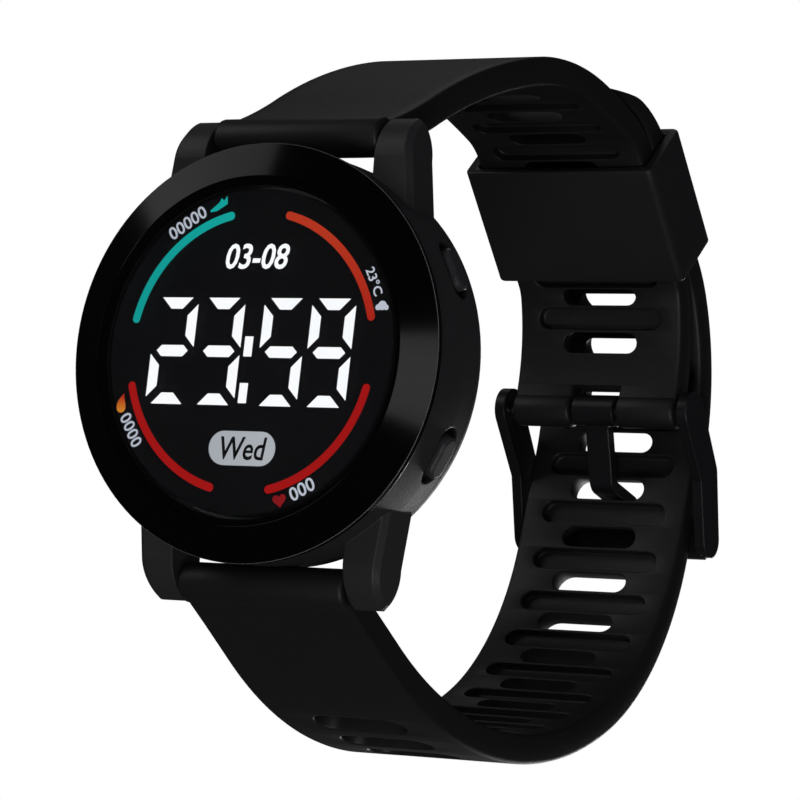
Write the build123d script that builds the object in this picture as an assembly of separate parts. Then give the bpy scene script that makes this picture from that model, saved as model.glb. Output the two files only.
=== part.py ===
from build123d import *
import os
from math import cos, degrees, radians, sin

os.makedirs("parts", exist_ok=True)

# Digital watch with an LED face, closed at the buckle as it lies on a wrist. All sizes are
# in millimetres. The origin is the centre of the case back's flat face, Z is up to
# 12 o'clock, the face looks along -Y, the push buttons are on +X and the strap closes on +Y.

# Case and bezel. Depths are read from the front of the face to the back, and a step is how far
# a part lies inside the one that it follows, measured along the radius.
HEAD_DEPTH = 12.0
CASE_R = 19.9
BEZEL_OVERHANG = 0.2
BEZEL_SLOPE_WIDTH = 3.35
BEZEL_FACE_DEPTH = 1.4
BEZEL_EDGE = 0.2
BEZEL_DEPTH = 2.3
GLASS_STEP = 0.15
GLASS_DEPTH = 1.2
GLASS_SEAT_ROOM = 0.05
GLASS_GASKET_DEPTH = 0.3
GASKET_WIDTH = 0.65
FLANGE_STEP = 0.15
FLANGE_DEPTH = 0.8
FLANGE_LIP = 1.4
FLANGE_CHAMFER = 0.3
CASE_WALL = 2.5
BARREL_FRONT = (-7.2, 0.03)
BARREL_WIDEST_Y = -4.8
BARREL_REAR = (-2.4, 0.1)
RIM_ROUND = (-1.1, 0.45)
RIM_Y = -0.4
RIM_STEP = 1.3

# Case back, its gasket and its four screws.
BACK_STEP = 0.5
BACK_ROOM = 0.06
BACK_DEPTH = 0.9
BACK_FLAT_STEP = 3.0
BACK_SLOPE = 0.6
BACK_POCKET_STEP = 0.4
BACK_POCKET_DEPTH = 0.5
BACK_GASKET_DEPTH = 0.3
BACK_GASKET_WIDTH = 0.6
SCREW_STEP = 2.1
SCREW_COUNT = 4
SCREW_FIRST_DEG = 45
SCREW_HEAD_R = 1.05
SCREW_HEAD_DEPTH = 0.4
SCREW_HEAD_SUNK = 0.05
SCREW_SHANK_R = 0.55
SCREW_LENGTH = 3.4
SCREW_SLOT_WIDTH = 0.25
SCREW_SLOT_DEPTH = 0.18
BOSS_R = 1.25
BOSS_LENGTH = 4.6
BOSS_SUNK = 0.3
SCREW_THREAD_ROOM = 0.05
SCREW_ROOM = 0.12

# Lugs and the spring bars that they hold. The places of a lug's bends are a depth and a height
# above the bar.
LUG_TAPER = 1.0
LUG_TIP_WIDTH = 3.4
LUG_ROOT_WIDTH = 4.8
LUG_ROOT_BELOW = 9.7
LUG_SHOULDER_BELOW = 2.2
LUG_TIP_ABOVE = 1.8
LUG_FRONT_Y = -6.9
LUG_BACK_Y = -1.9
LUG_TIP_Y = (-3.9, -3.3)
LUG_FRONT_BEND = (-5.75, 0.5)
LUG_BACK_BEND = (-2.25, 0.6)
LUG_EDGE = 0.6
BAR_Y = -4.3
BAR_BEYOND_CASE = 1.8
SCOOP_R = 2.1
BAR_R = 0.75
BAR_BORE_R = 0.6
BAR_END_GAP = 0.2
TIP_R = 0.42
TIP_SHOULDER_R = 0.55
TIP_SHOULDER_LENGTH = 2.0
TIP_SHOULDER_INSET = 0.9
TIP_REACH = 0.9
TIP_HOLE_R = 0.48
TIP_HOLE_DEPTH = 1.2

# Light frame, board and the parts on it.
FRAME_STEP = 1.8
FRAME_FRONT_GAP = 0.15
FRAME_DEPTH = 2.0
GUIDE_DEPTH = 1.3
LED_SIZE = (1.0, 0.5, 0.5)
BOARD_STEP = 0.2
BOARD_DEPTH = 0.8
CHIP_SIZE = (5.0, 5.0, 0.9)
CHIP_PLACE = (-3.0, 2.5)
CRYSTAL_SIZE = (3.2, 1.5, 0.8)
CRYSTAL_PLACE = (3.5, -1.5)
GUIDE_ROOM = 0.03

# Layout of the face, drawn for a light frame of the first size and scaled to the one in use.
# Digits: half sizes, stroke and corner gap, then which of the seven bars are lit.
LAYOUT_R = 15.6
DIGIT_HALF_WIDTH = 2.4
DIGIT_HALF_HEIGHT = 5.15
STROKE = 1.12
CORNER_GAP = 0.62
DIGIT_PITCH = 5.25
DIGIT_FIRST_X = 3.45
DIGIT_LEAN_DEG = 2.5
LIT_BARS = {"two": "abged", "three": "abgcd", "five": "afgcd", "nine": "abfgcd"}
SHOWN = (("two", -DIGIT_FIRST_X - DIGIT_PITCH), ("three", -DIGIT_FIRST_X),
         ("five", DIGIT_FIRST_X), ("nine", DIGIT_FIRST_X + DIGIT_PITCH))
COLON_WIDTH = 0.95
COLON_HEIGHT = 1.95
COLON_Z = (0.5, -3.95)
COLON_X = -0.2
GAUGE_R = 13.4
GAUGE_WIDTH = 0.85
TEAL_ARC_DEG = (104, 167)
RED_ARCS_DEG = ((15, 76), (195, 256), (284, 346))
PILL_LENGTH = 7.4
PILL_HEIGHT = 3.3
PILL_Z = -9.2

# Movement holder, coin cell and its clip.
HOLDER_ROOM = 0.2
HOLDER_BACK_GAP = 0.15
HOLDER_WALL = 2.2
HOLDER_SEAT_ROOM = 0.05
HOLDER_NOTCH_ROOM = 0.3
HOLDER_CAVITY_DEPTH = 2.4
CELL_R = 10.0
CELL_DEPTH = 3.2
CELL_ROOM = 0.15
CELL_EDGE = 0.3
CLIP_STEP = 0.6
CLIP_DEPTH = 0.2
CLIP_WINDOW_R = 7.0
CLIP_SPOKE = 5.0

# Push buttons at 2 and 4 o'clock. An inset is measured inward from the case's radius.
BUTTON_DEG = (26.4, -26.4)
BUTTON_Y = -4.6
BUTTON_PROUD = 0.52
BUTTON_LENGTH = 4.4
BUTTON_HEIGHT = 2.2
BUTTON_DEPTH = 0.95
BUTTON_EDGE = 0.25
RECESS_LENGTH = 6.0
RECESS_HEIGHT = 2.9
RECESS_DEPTH = 1.0
STEM_R = 0.7
STEM_ROOM = 0.05
STEM_END_INSET = 3.73
STEM_CLIP_R = 1.25
STEM_CLIP_INSET = 2.9
STEM_CLIP_THICK = 0.25
SEAL_R = 1.1
SEAL_INSET = 2.05
SEAL_THICK = 0.6
SEAL_ROOM = 0.03
SWITCH_INSET = 7.3
SWITCH_LENGTH = 2.8
SWITCH_WIDTH = 3.6
SWITCH_DEPTH = 4.4
PLUNGER_HEIGHT = 1.0
PLUNGER_WIDTH = 1.4
PLUNGER_INSIDE = 0.8
PLUNGER_TRAVEL_ROOM = 0.6
PLUNGER_GAP = 0.02
PLUNGER_ROOM = 0.05
SWITCH_POCKET_ROOM = 0.3

# Strap: both halves follow arcs and straights, given as lengths and turns. The long half closes
# the loop, so its bottom bend and its last straight take the lengths that bring it to its bar.
UPPER_THICK = 3.0
LONG_THICK = 3.1
LAYER_GAP = 0.25
STRAP_LUG_ROOM = 0.3
STRAP_WIDTH = 20.0
STRAP_TAPER_END_Y = 40.0
STRAP_MARGIN = 15.0
UPPER_START_DEG = 20.1
UPPER_LENGTHS = (10.4, 22.0, 14.3, 7.4)
UPPER_TURNS_DEG = (9.2, -16.0, -25.8, -4.8)
FOLD_R = 9.0
STRAIGHT_DEG = -47.0
STRAIGHT_LENGTH = 16.4
BUCKLE_LENGTHS = (2.2, 12.86)
BUCKLE_TURNS_DEG = (-25.6, -32.0)
LONG_STRAIGHT_EXTRA = 1.1
LONG_LENGTHS = (3.6, 18.6, 9.9)
LONG_TURNS_DEG = (-14.3, -43.2, 1.6)
BOTTOM_BEND_DEG = -54.5
LOWER_LENGTHS = (24.4, 22.4)
LOWER_TURNS_DEG = (-28.7, -26.0)
TAIL_LENGTH = 5.0
TAIL_FOLD_THICK = 1.9
TAIL_TIP_THICK = 1.0
TAIL_CORNER_R = 6.0
LUG_ROLL_R = 1.65
BUCKLE_ROLL_R = 1.9
BAR_ROOM = 0.04
SLOT_PITCH = 5.7
SLOT_LENGTH = 9.0
SLOT_HEIGHT = 2.4
SLOT_DRAFT_DEG = 11
GROOVE_MARGIN = 2.4
GROOVE_HEIGHT = 2.5
GROOVE_DEPTH = 1.0
LONG_FIRST_SLOT = 3.8
LONG_SLOTS = 20
SLOT_OVERRUN = 0.3
UPPER_FIRST_SLOT = 42.6
UPPER_SLOTS = 8

# Keeper that slides on the straight of the strap.
KEEPER_LENGTH = 14.6
KEEPER_WALL = 1.0
KEEPER_SIDE_WALL = 1.3
KEEPER_ROOM = 0.15
KEEPER_SIDE_ROOM = 0.2
KEEPER_CORNER_R = 1.6
KEEPER_REST = 0.3

# Buckle: frame round the long strap, tongue through one slot of it.
BUCKLE_SIDE_ROOM = 0.7
ARM_THICK = 1.2
ARM_HEAD_R = 2.3
ARM_KNEE_R = 2.1
ARM_FOOT_R = 1.95
ARM_KNEE = (4.9, -6.4)
CROSSBAR_STATION = 48.0
CROSSBAR_GAP = 0.3
CROSSBAR_THICK = 1.5
CROSSBAR_HEIGHT = 4.4
CROSSBAR_EDGE = 0.6
TONGUE_SLOT = 7
TONGUE_WIDTH = 2.8
TONGUE_LOOP_WIDTH = 5.0
TONGUE_LOOP_R = 1.75
TONGUE_THICK = 1.3
TONGUE_TIP_GAP = 0.3
TONGUE_TIP_LENGTH = 4.4
NOTCH_WIDTH = 5.7
NOTCH_ROOM = 0.6
OVERRUN = 1.0

# Depths and radii that follow from the sizes above.
glass_front = -HEAD_DEPTH
glass_back = glass_front + GLASS_DEPTH
ledge_front = glass_back + GLASS_GASKET_DEPTH
bezel_back = glass_front + BEZEL_DEPTH
flange_back = bezel_back + FLANGE_DEPTH
back_front = RIM_Y - BACK_DEPTH
gasket_front = back_front - BACK_GASKET_DEPTH
frame_front = glass_back + FRAME_FRONT_GAP
board_front = frame_front + FRAME_DEPTH
board_back = board_front + BOARD_DEPTH
holder_back = back_front - HOLDER_BACK_GAP
cell_front = holder_back - CELL_DEPTH
bezel_r = CASE_R + BEZEL_OVERHANG
window_r = bezel_r - BEZEL_SLOPE_WIDTH
glass_r = window_r - GLASS_STEP
ledge_r = glass_r - GASKET_WIDTH
flange_r = CASE_R - FLANGE_STEP
bore_r = CASE_R - CASE_WALL
flange_bore_r = bore_r - FLANGE_LIP
rim_r = CASE_R - RIM_STEP
back_r = rim_r - BACK_STEP
back_seat_r = back_r + BACK_ROOM
screw_ring_r = back_r - SCREW_STEP
back_flat_r = screw_ring_r - BACK_FLAT_STEP
back_pocket_r = back_flat_r - BACK_POCKET_STEP
clip_r = back_pocket_r - CLIP_STEP
frame_r = bore_r - FRAME_STEP
face_scale = frame_r / LAYOUT_R
holder_r = bore_r - HOLDER_ROOM
button_outer = CASE_R + BUTTON_PROUD
button_inner = button_outer - BUTTON_DEPTH
stem_end_r = CASE_R - STEM_END_INSET
stem_clip_inner = CASE_R - STEM_CLIP_INSET
seal_inner = CASE_R - SEAL_INSET
switch_inner = CASE_R - SWITCH_INSET
switch_outer = switch_inner + SWITCH_LENGTH
lug_gap = STRAP_WIDTH - LUG_TAPER
lug_half_gap = lug_gap / 2
bar_z = CASE_R + BAR_BEYOND_CASE


def area(*parts):
    """Fill the closed outline that some lines and arcs make end to end."""
    return make_face([edge for part in parts for edge in part.edges()])


def ring(points):
    """Turn a closed outline of (radius, y) points about the Y axis."""
    return revolve(make_face(Polyline(*points, close=True)), axis=Axis.Y)


def plate(sketch, back, thick):
    """Extrude a sketch of the face plane forward from y = back."""
    face = Plane((0, back, 0), x_dir=(1, 0, 0), z_dir=(0, -1, 0))
    return extrude(face * sketch, thick)


def tube_x(place, radius, span):
    """Cylinder along X at (y, z), from span[0] to span[1]."""
    middle = (span[0] + span[1]) / 2
    return Pos(middle, *place) * Rot(0, 90, 0) * Cylinder(radius, span[1] - span[0])


def radial(angle, solid):
    """Swing a solid built along +X round the case to an angle of the face."""
    return Rot(0, -angle, 0) * solid


def spoke(radius, span):
    """Cylinder along X at the buttons' depth."""
    return tube_x((BUTTON_Y, 0), radius, span)


def pill_x(length, height, span):
    """Rounded bar outline across X at the buttons' depth, from span[0] to span[1]."""
    face = Plane((span[0], BUTTON_Y, 0), x_dir=(0, 0, 1), z_dir=(1, 0, 0))
    return extrude(face * SlotOverall(length, height), span[1] - span[0])


def on_barrel(place):
    """Point of the barrel's outline from a depth and a step inside the case's radius."""
    depth, inset = place
    return CASE_R - inset, depth


def case_outline():
    """Barrel of the case with its rounded rear rim, still without its bore."""
    front = (flange_r, bezel_back + FLANGE_CHAMFER)
    widest = (CASE_R, BARREL_WIDEST_Y)
    rear = on_barrel(BARREL_REAR)
    rim = (rim_r, RIM_Y)
    outline = area(
        ThreePointArc(front, on_barrel(BARREL_FRONT), widest), Line(widest, rear),
        ThreePointArc(rear, on_barrel(RIM_ROUND), rim),
        Polyline(rim, (0, RIM_Y), (0, bezel_back), (flange_r - FLANGE_CHAMFER, bezel_back), front))
    return revolve(outline, axis=Axis.Y)


def lug_pair(side):
    """Both lugs at 12 o'clock (side 1) or 6 o'clock (side -1), wider at the case than at the tip."""
    root, tip = bar_z - LUG_ROOT_BELOW, bar_z + LUG_TIP_ABOVE
    shoulder = bar_z - LUG_SHOULDER_BELOW
    tip_front, tip_back = LUG_TIP_Y
    front_bend, back_bend = ((depth, bar_z + above) for depth, above in (LUG_FRONT_BEND, LUG_BACK_BEND))
    outline = area(
        Line((LUG_FRONT_Y, root), (LUG_FRONT_Y, shoulder)),
        ThreePointArc((LUG_FRONT_Y, shoulder), front_bend, (tip_front, tip)),
        Line((tip_front, tip), (tip_back, tip)),
        ThreePointArc((tip_back, tip), back_bend, (LUG_BACK_Y, shoulder)),
        Polyline((LUG_BACK_Y, shoulder), (LUG_BACK_Y, root), (LUG_FRONT_Y, root)))
    one = extrude(Plane.YZ.offset(lug_half_gap) * outline, LUG_ROOT_WIDTH)
    front = Polyline((lug_half_gap, root), (lug_half_gap + LUG_ROOT_WIDTH, root),
                     (lug_half_gap + LUG_TIP_WIDTH, tip), (lug_half_gap, tip), close=True)
    one &= plate(make_face(front), 0, HEAD_DEPTH)
    outer_edges = one.faces().sort_by(Axis.X)[-1].edges().filter_by(
        lambda edge: edge.center().Z > root + LUG_EDGE)
    one = chamfer(outer_edges, LUG_EDGE)
    pair = one + mirror(one, about=Plane.YZ)
    return pair if side > 0 else mirror(pair, about=Plane.XY)


def at_bosses(solid):
    """Copies of a solid at the four case-back screws."""
    step = 360 / SCREW_COUNT
    return [radial(SCREW_FIRST_DEG + step * n, solid) for n in range(SCREW_COUNT)]


def along_y(radius, front, back, x=0):
    """Cylinder along Y between two depths."""
    return Pos(x, (front + back) / 2, 0) * Rot(90, 0, 0) * Cylinder(radius, back - front)


def build_boss():
    """Screw boss on the case's wall, with its pilot hole."""
    front = back_front - BOSS_LENGTH
    web_length = bore_r - screw_ring_r + BOSS_SUNK
    web = Pos(screw_ring_r + web_length / 2, (front + back_front) / 2, 0) * Box(
        web_length, BOSS_LENGTH, BOSS_R * 2)
    boss = along_y(BOSS_R, front, back_front, screw_ring_r) + web
    boss &= along_y(bore_r + BOSS_SUNK, front, back_front)
    pilot = along_y(SCREW_SHANK_R + SCREW_THREAD_ROOM, front + BOSS_R, back_front, screw_ring_r)
    gasket_seat = ring([(back_r - BACK_GASKET_WIDTH - BACK_ROOM, gasket_front), (back_seat_r, gasket_front),
                        (back_seat_r, RIM_Y), (back_r - BACK_GASKET_WIDTH - BACK_ROOM, RIM_Y)])
    return boss - pilot - gasket_seat


def build_case_middle():
    body = case_outline()
    for side in (1, -1):
        body += lug_pair(side)
        body -= tube_x((BAR_Y, side * bar_z), SCOOP_R, (-lug_half_gap, lug_half_gap))
    body -= ring([(0, bezel_back), (flange_bore_r, bezel_back), (flange_bore_r, flange_back),
                  (bore_r, flange_back), (bore_r, gasket_front), (back_seat_r, gasket_front),
                  (back_seat_r, RIM_Y), (0, RIM_Y)])
    for boss in at_bosses(build_boss()):
        body += boss
    recess_floor = CASE_R - RECESS_DEPTH
    for angle in BUTTON_DEG:
        cut = pill_x(RECESS_LENGTH, RECESS_HEIGHT, (recess_floor, button_outer))
        cut += spoke(STEM_R + STEM_ROOM, (flange_bore_r, CASE_R))
        cut += spoke(SEAL_R, (seal_inner, seal_inner + SEAL_THICK))
        body -= radial(angle, cut)
    hole = (lug_half_gap, lug_half_gap + TIP_HOLE_DEPTH)
    for side in (1, -1):
        for span in (hole, (-hole[1], -hole[0])):
            body -= tube_x((BAR_Y, side * bar_z), TIP_HOLE_R, span)
    return body


def build_bezel():
    seat_r = glass_r + GLASS_SEAT_ROOM
    slope_y = glass_front + BEZEL_FACE_DEPTH
    return ring([(seat_r, glass_front), (window_r, glass_front), (bezel_r, slope_y),
                 (bezel_r, bezel_back - BEZEL_EDGE), (bezel_r - BEZEL_EDGE, bezel_back),
                 (ledge_r, bezel_back), (ledge_r, ledge_front), (seat_r, ledge_front)])


def build_glass_gasket():
    return ring([(ledge_r, glass_back), (glass_r, glass_back), (glass_r, ledge_front),
                 (ledge_r, ledge_front)])


def bar_outlines():
    """The seven bars of a digit, cut at 45 degrees where they meet, as point lists."""
    a, b, s = DIGIT_HALF_WIDTH, DIGIT_HALF_HEIGHT, STROKE
    flat = a - CORNER_GAP
    low, high = CORNER_GAP / 2, b - CORNER_GAP
    top = [(-flat, b), (flat, b), (flat - s, b - s), (s - flat, b - s)]
    right = [(a, low), (a, high), (a - s, high - s), (a - s, low + s)]
    middle = [(-flat, 0), (s / 2 - flat, s / 2), (flat - s / 2, s / 2), (flat, 0),
              (flat - s / 2, -s / 2), (s / 2 - flat, -s / 2)]

    def flipped(points, across, up):
        return [(across * x, up * y) for x, y in points]

    return {"a": top, "g": middle, "b": right, "c": flipped(right, 1, -1),
            "d": flipped(top, 1, -1), "e": flipped(right, -1, -1), "f": flipped(right, -1, 1)}


def drawn(points):
    """Face outline of the layout's points, brought to the size in use."""
    return make_face(Polyline(*[(x * face_scale, z * face_scale) for x, z in points], close=True))


def time_sketch():
    """All lit bars and both colon marks, leaning a little to the right."""
    lean = sin(radians(DIGIT_LEAN_DEG))
    bars = bar_outlines()
    faces = []
    for name, x in SHOWN:
        for letter in LIT_BARS[name]:
            faces.append(drawn([(x + px + lean * pz, pz) for px, pz in bars[letter]]))
    for z in COLON_Z:
        half = (COLON_WIDTH / 2, COLON_HEIGHT / 2)
        corners = [(-half[0], -half[1]), (half[0], -half[1]), (half[0], half[1]), (-half[0], half[1])]
        faces.append(drawn([(COLON_X + px + lean * (z + pz), z + pz) for px, pz in corners]))
    return faces


def on_gauge(deg, radius):
    """Point of the face at an angle and a radius of the layout."""
    away = radius * face_scale
    return away * cos(radians(deg)), away * sin(radians(deg))


def arc_sketch(span):
    """One round-ended gauge arc of the face."""
    start, end = span
    middle = (start + end) / 2
    inner, outer = GAUGE_R - GAUGE_WIDTH / 2, GAUGE_R + GAUGE_WIDTH / 2
    cap = degrees(GAUGE_WIDTH / 2 / GAUGE_R)
    return area(
        ThreePointArc(on_gauge(start, inner), on_gauge(middle, inner), on_gauge(end, inner)),
        ThreePointArc(on_gauge(end, inner), on_gauge(end + cap, GAUGE_R), on_gauge(end, outer)),
        ThreePointArc(on_gauge(end, outer), on_gauge(middle, outer), on_gauge(start, outer)),
        ThreePointArc(on_gauge(start, outer), on_gauge(start - cap, GAUGE_R), on_gauge(start, inner)))


def pill_sketch():
    return Pos(0, PILL_Z * face_scale) * SlotOverall(PILL_LENGTH * face_scale, PILL_HEIGHT * face_scale)


def openings():
    """Every light opening of the frame, in one list."""
    arcs = [arc_sketch(span) for span in (TEAL_ARC_DEG, *RED_ARCS_DEG)]
    return time_sketch() + arcs + [pill_sketch()]


def light_guide(faces):
    """Clear blocks that fill some of the frame's openings from the front."""
    guides = [plate(offset(face, -GUIDE_ROOM), frame_front + GUIDE_DEPTH, GUIDE_DEPTH)
              for face in faces]
    return Compound(children=guides)


def build_segment_frame():
    blank = along_y(frame_r, frame_front, board_front)
    cuts = [plate(face, board_front, FRAME_DEPTH) for face in openings()]
    return blank - cuts


def build_leds():
    """One chip under each lit bar and along each arc and the pill."""
    spots = [face.center() for face in time_sketch() + [pill_sketch()]]
    places = [(spot.X, spot.Y) for spot in spots]
    places += [on_gauge(sum(span) / 2, GAUGE_R) for span in (TEAL_ARC_DEG, *RED_ARCS_DEG)]
    width, height, depth = LED_SIZE
    chips = [Pos(x, board_front - depth / 2, z) * Box(height, depth, height) for x, z in places]
    return Compound(children=chips)


def on_board(size, place):
    """Block soldered to the back of the board."""
    return Pos(place[0], board_back + size[2] / 2, place[1]) * Box(size[0], size[2], size[1])


def build_holder():
    body = along_y(holder_r, flange_back, holder_back)
    seat = along_y(frame_r + HOLDER_SEAT_ROOM, flange_back, board_back)
    cavity = along_y(holder_r - HOLDER_WALL, board_back, board_back + HOLDER_CAVITY_DEPTH)
    cell = along_y(CELL_R + CELL_ROOM, cell_front, holder_back)
    body -= [seat, cavity, cell]
    half_notch = BOSS_R + HOLDER_NOTCH_ROOM
    inner = screw_ring_r - half_notch
    length = holder_r + OVERRUN - inner
    depth = BOSS_LENGTH + HOLDER_NOTCH_ROOM
    notch = Pos(inner + length / 2, back_front - depth / 2, 0) * Box(length, depth, half_notch * 2)
    body -= at_bosses(notch)
    pocket_inner = switch_inner - SWITCH_POCKET_ROOM
    reach = holder_r + OVERRUN - pocket_inner
    tall = SWITCH_DEPTH + SWITCH_POCKET_ROOM
    pocket = Pos(pocket_inner + reach / 2, board_back + tall / 2, 0) * Box(
        reach, tall, SWITCH_WIDTH + SWITCH_POCKET_ROOM * 2)
    return body - [radial(angle, pocket) for angle in BUTTON_DEG]


def build_coin_cell():
    rim = CELL_R - CELL_EDGE
    return ring([(0, cell_front), (rim, cell_front), (CELL_R, cell_front + CELL_EDGE),
                 (CELL_R, holder_back - CELL_EDGE), (rim, holder_back), (0, holder_back)])


def build_battery_clip():
    plan = Circle(clip_r) - Circle(CLIP_WINDOW_R)
    plan += Rectangle(CLIP_WINDOW_R * 2 + CLIP_DEPTH, CLIP_SPOKE)
    return plate(plan, holder_back + CLIP_DEPTH, CLIP_DEPTH)


def build_case_back():
    pocket_y = back_front + BACK_POCKET_DEPTH
    body = ring([(0, pocket_y), (back_pocket_r, pocket_y), (back_pocket_r, back_front),
                 (back_r, back_front), (back_r, RIM_Y), (back_flat_r + BACK_SLOPE, RIM_Y),
                 (back_flat_r, 0), (0, 0)])
    hole = along_y(SCREW_SHANK_R + SCREW_ROOM, back_front, RIM_Y, screw_ring_r)
    sink = along_y(SCREW_HEAD_R + SCREW_ROOM, RIM_Y - SCREW_HEAD_DEPTH - SCREW_HEAD_SUNK, RIM_Y,
                   screw_ring_r)
    return body - at_bosses(hole + sink)


def build_back_gasket():
    return ring([(back_r - BACK_GASKET_WIDTH, gasket_front), (back_r, gasket_front),
                 (back_r, back_front), (back_r - BACK_GASKET_WIDTH, back_front)])


def build_screws():
    top = RIM_Y - SCREW_HEAD_SUNK
    seat = top - SCREW_HEAD_DEPTH
    screw = along_y(SCREW_HEAD_R, seat, top, screw_ring_r)
    screw += along_y(SCREW_SHANK_R, seat - SCREW_LENGTH, seat, screw_ring_r)
    screw -= Pos(screw_ring_r, top - SCREW_SLOT_DEPTH / 2, 0) * Box(
        SCREW_HEAD_R * 2, SCREW_SLOT_DEPTH, SCREW_SLOT_WIDTH)
    return Compound(children=at_bosses(screw))


def build_button(angle):
    cap = pill_x(BUTTON_LENGTH, BUTTON_HEIGHT, (button_inner, button_outer))
    cap = chamfer(cap.faces().sort_by(Axis.X)[-1].edges(), BUTTON_EDGE)
    return radial(angle, cap + spoke(STEM_R, (stem_end_r, button_inner)))


def washer(angle, bore, radius, inner, thick):
    """Ring round a button's stem, from a distance off the case's axis."""
    span = (inner, inner + thick)
    return radial(angle, spoke(radius, span) - spoke(bore, span))


def build_switch(angle):
    body = Pos((switch_inner + switch_outer) / 2, board_back + SWITCH_DEPTH / 2, 0) * Box(
        SWITCH_LENGTH, SWITCH_DEPTH, SWITCH_WIDTH)
    deep = PLUNGER_INSIDE + PLUNGER_TRAVEL_ROOM
    room = PLUNGER_ROOM * 2
    pocket = Pos(switch_outer - deep / 2, BUTTON_Y, 0) * Box(
        deep, PLUNGER_HEIGHT + room, PLUNGER_WIDTH + room)
    return radial(angle, body - pocket)


def build_plunger(angle):
    inner, outer = switch_outer - PLUNGER_INSIDE, stem_end_r - PLUNGER_GAP
    block = Box(outer - inner, PLUNGER_HEIGHT, PLUNGER_WIDTH)
    return radial(angle, Pos((outer + inner) / 2, BUTTON_Y, 0) * block)


def bar_tube(place, half):
    """Sleeve of a spring bar at (y, z), open at both ends."""
    span = (-half, half)
    return tube_x(place, BAR_R, span) - tube_x(place, BAR_BORE_R, span)


def bar_tip(place, half, seat, side):
    """Sprung end of a bar: a shoulder inside the sleeve and a pin into the seat."""
    outer = half - TIP_SHOULDER_INSET
    pin = tube_x(place, TIP_R, (outer, seat + TIP_REACH))
    tip = pin + tube_x(place, TIP_SHOULDER_R, (outer - TIP_SHOULDER_LENGTH, outer))
    return tip if side > 0 else mirror(tip, about=Plane.YZ)


# Paths of the strap. A place is (y, z, heading in radians) seen from +X.
def step(place, length, turn):
    """The place reached after an arc of that length and turn, or after a straight."""
    y, z, heading = place
    if turn == 0:
        return y + length * cos(heading), z + length * sin(heading), heading
    radius = length / turn
    ahead = heading + turn
    return y + radius * (sin(ahead) - sin(heading)), z - radius * (cos(ahead) - cos(heading)), ahead


def place_at(start, pieces, distance):
    """The place at a distance along the pieces."""
    place = start
    for length, turn in pieces:
        part = min(distance, length)
        place = step(place, part, turn * part / length)
        distance -= part
    return place


def beside(place, away):
    """Point at a distance to the left of a place, which is the strap's outer side."""
    y, z, heading = place
    return y - away * sin(heading), z + away * cos(heading)


def band(start, pieces, thick):
    """Side outline of a strip of even thickness that follows the pieces."""
    half = thick / 2
    place = start
    edges = [Line(beside(start, half), beside(start, -half))]
    for length, turn in pieces:
        middle, end = step(place, length / 2, turn / 2), step(place, length, turn)
        for side in (half, -half):
            points = [beside(spot, side) for spot in (place, middle, end)]
            edges.append(Line(points[0], points[2]) if turn == 0 else ThreePointArc(*points))
        place = end
    edges.append(Line(beside(place, half), beside(place, -half)))
    return area(*edges)


def station(place, away=0):
    """Plane on the strap: X across it, Y along it and Z outward, at a distance outward."""
    heading = place[2]
    y, z = beside(place, away)
    return Plane((0, y, z), x_dir=(1, 0, 0), z_dir=(0, -sin(heading), cos(heading)))


def in_radians(lengths, turns_deg):
    """Pieces of a path from their lengths and their turns in degrees."""
    return [(length, radians(turn)) for length, turn in zip(lengths, turns_deg)]


def total(pieces):
    return sum(length for length, _ in pieces)


def closed(start, before, bend, after, target):
    """The whole path to a target: at fixed turns its end moves in proportion to each length, so
    the lengths of the bend and of the last straight solve two equations."""
    y, z, heading = place_at(start, before, total(before))
    bend_y, bend_z, turned = step((0, 0, heading), 1, bend)
    after_y, after_z, final = place_at((0, 0, turned), after, total(after))
    away_y, away_z = target[0] - y - after_y, target[1] - z - after_z
    cross = bend_y * sin(final) - bend_z * cos(final)
    bend_length = (away_y * sin(final) - away_z * cos(final)) / cross
    last_length = (bend_y * away_z - bend_z * away_y) / cross
    return [*before, (bend_length, bend), *after, (last_length, 0)]


top_bar = (BAR_Y, bar_z)
bottom_bar = (BAR_Y, -bar_z)
fold_turn = UPPER_START_DEG + sum(UPPER_TURNS_DEG) - STRAIGHT_DEG
fold_length = radians(fold_turn) * FOLD_R
upper_start = (*top_bar, radians(UPPER_START_DEG))
upper_front = in_radians((*UPPER_LENGTHS, fold_length), (*UPPER_TURNS_DEG, -fold_turn))
upper_path = [*upper_front, (STRAIGHT_LENGTH, 0), *in_radians(BUCKLE_LENGTHS, BUCKLE_TURNS_DEG)]
straight_start = place_at(upper_start, upper_path, total(upper_front))
buckle_bar = place_at(upper_start, upper_path, total(upper_path))[:2]
layer_step = (UPPER_THICK + LONG_THICK) / 2 + LAYER_GAP
long_start = (*beside(straight_start, layer_step), radians(STRAIGHT_DEG))
long_path = closed(
    long_start, [(STRAIGHT_LENGTH + LONG_STRAIGHT_EXTRA, 0), *in_radians(LONG_LENGTHS, LONG_TURNS_DEG)],
    radians(BOTTOM_BEND_DEG), in_radians(LOWER_LENGTHS, LOWER_TURNS_DEG), bottom_bar)
across_strap = (-STRAP_WIDTH / 2, STRAP_WIDTH / 2)
buckle_seat = STRAP_WIDTH / 2 + BUCKLE_SIDE_ROOM


def strap_plan():
    """Width of the strap seen from above: narrow at the lugs, full from the taper's end."""
    a, b = lug_half_gap - STRAP_LUG_ROOM, STRAP_WIDTH / 2
    near, far = BAR_Y - LUG_ROLL_R - OVERRUN, buckle_bar[0] + BUCKLE_ROLL_R + STRAP_MARGIN
    points = [(-a, near), (a, near), (a, 0), (b, STRAP_TAPER_END_Y), (b, far), (-b, far),
              (-b, STRAP_TAPER_END_Y), (-a, 0)]
    tall = sum(UPPER_LENGTHS) + bar_z
    return extrude(make_face(Polyline(*points, close=True)), tall, both=True)


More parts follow.
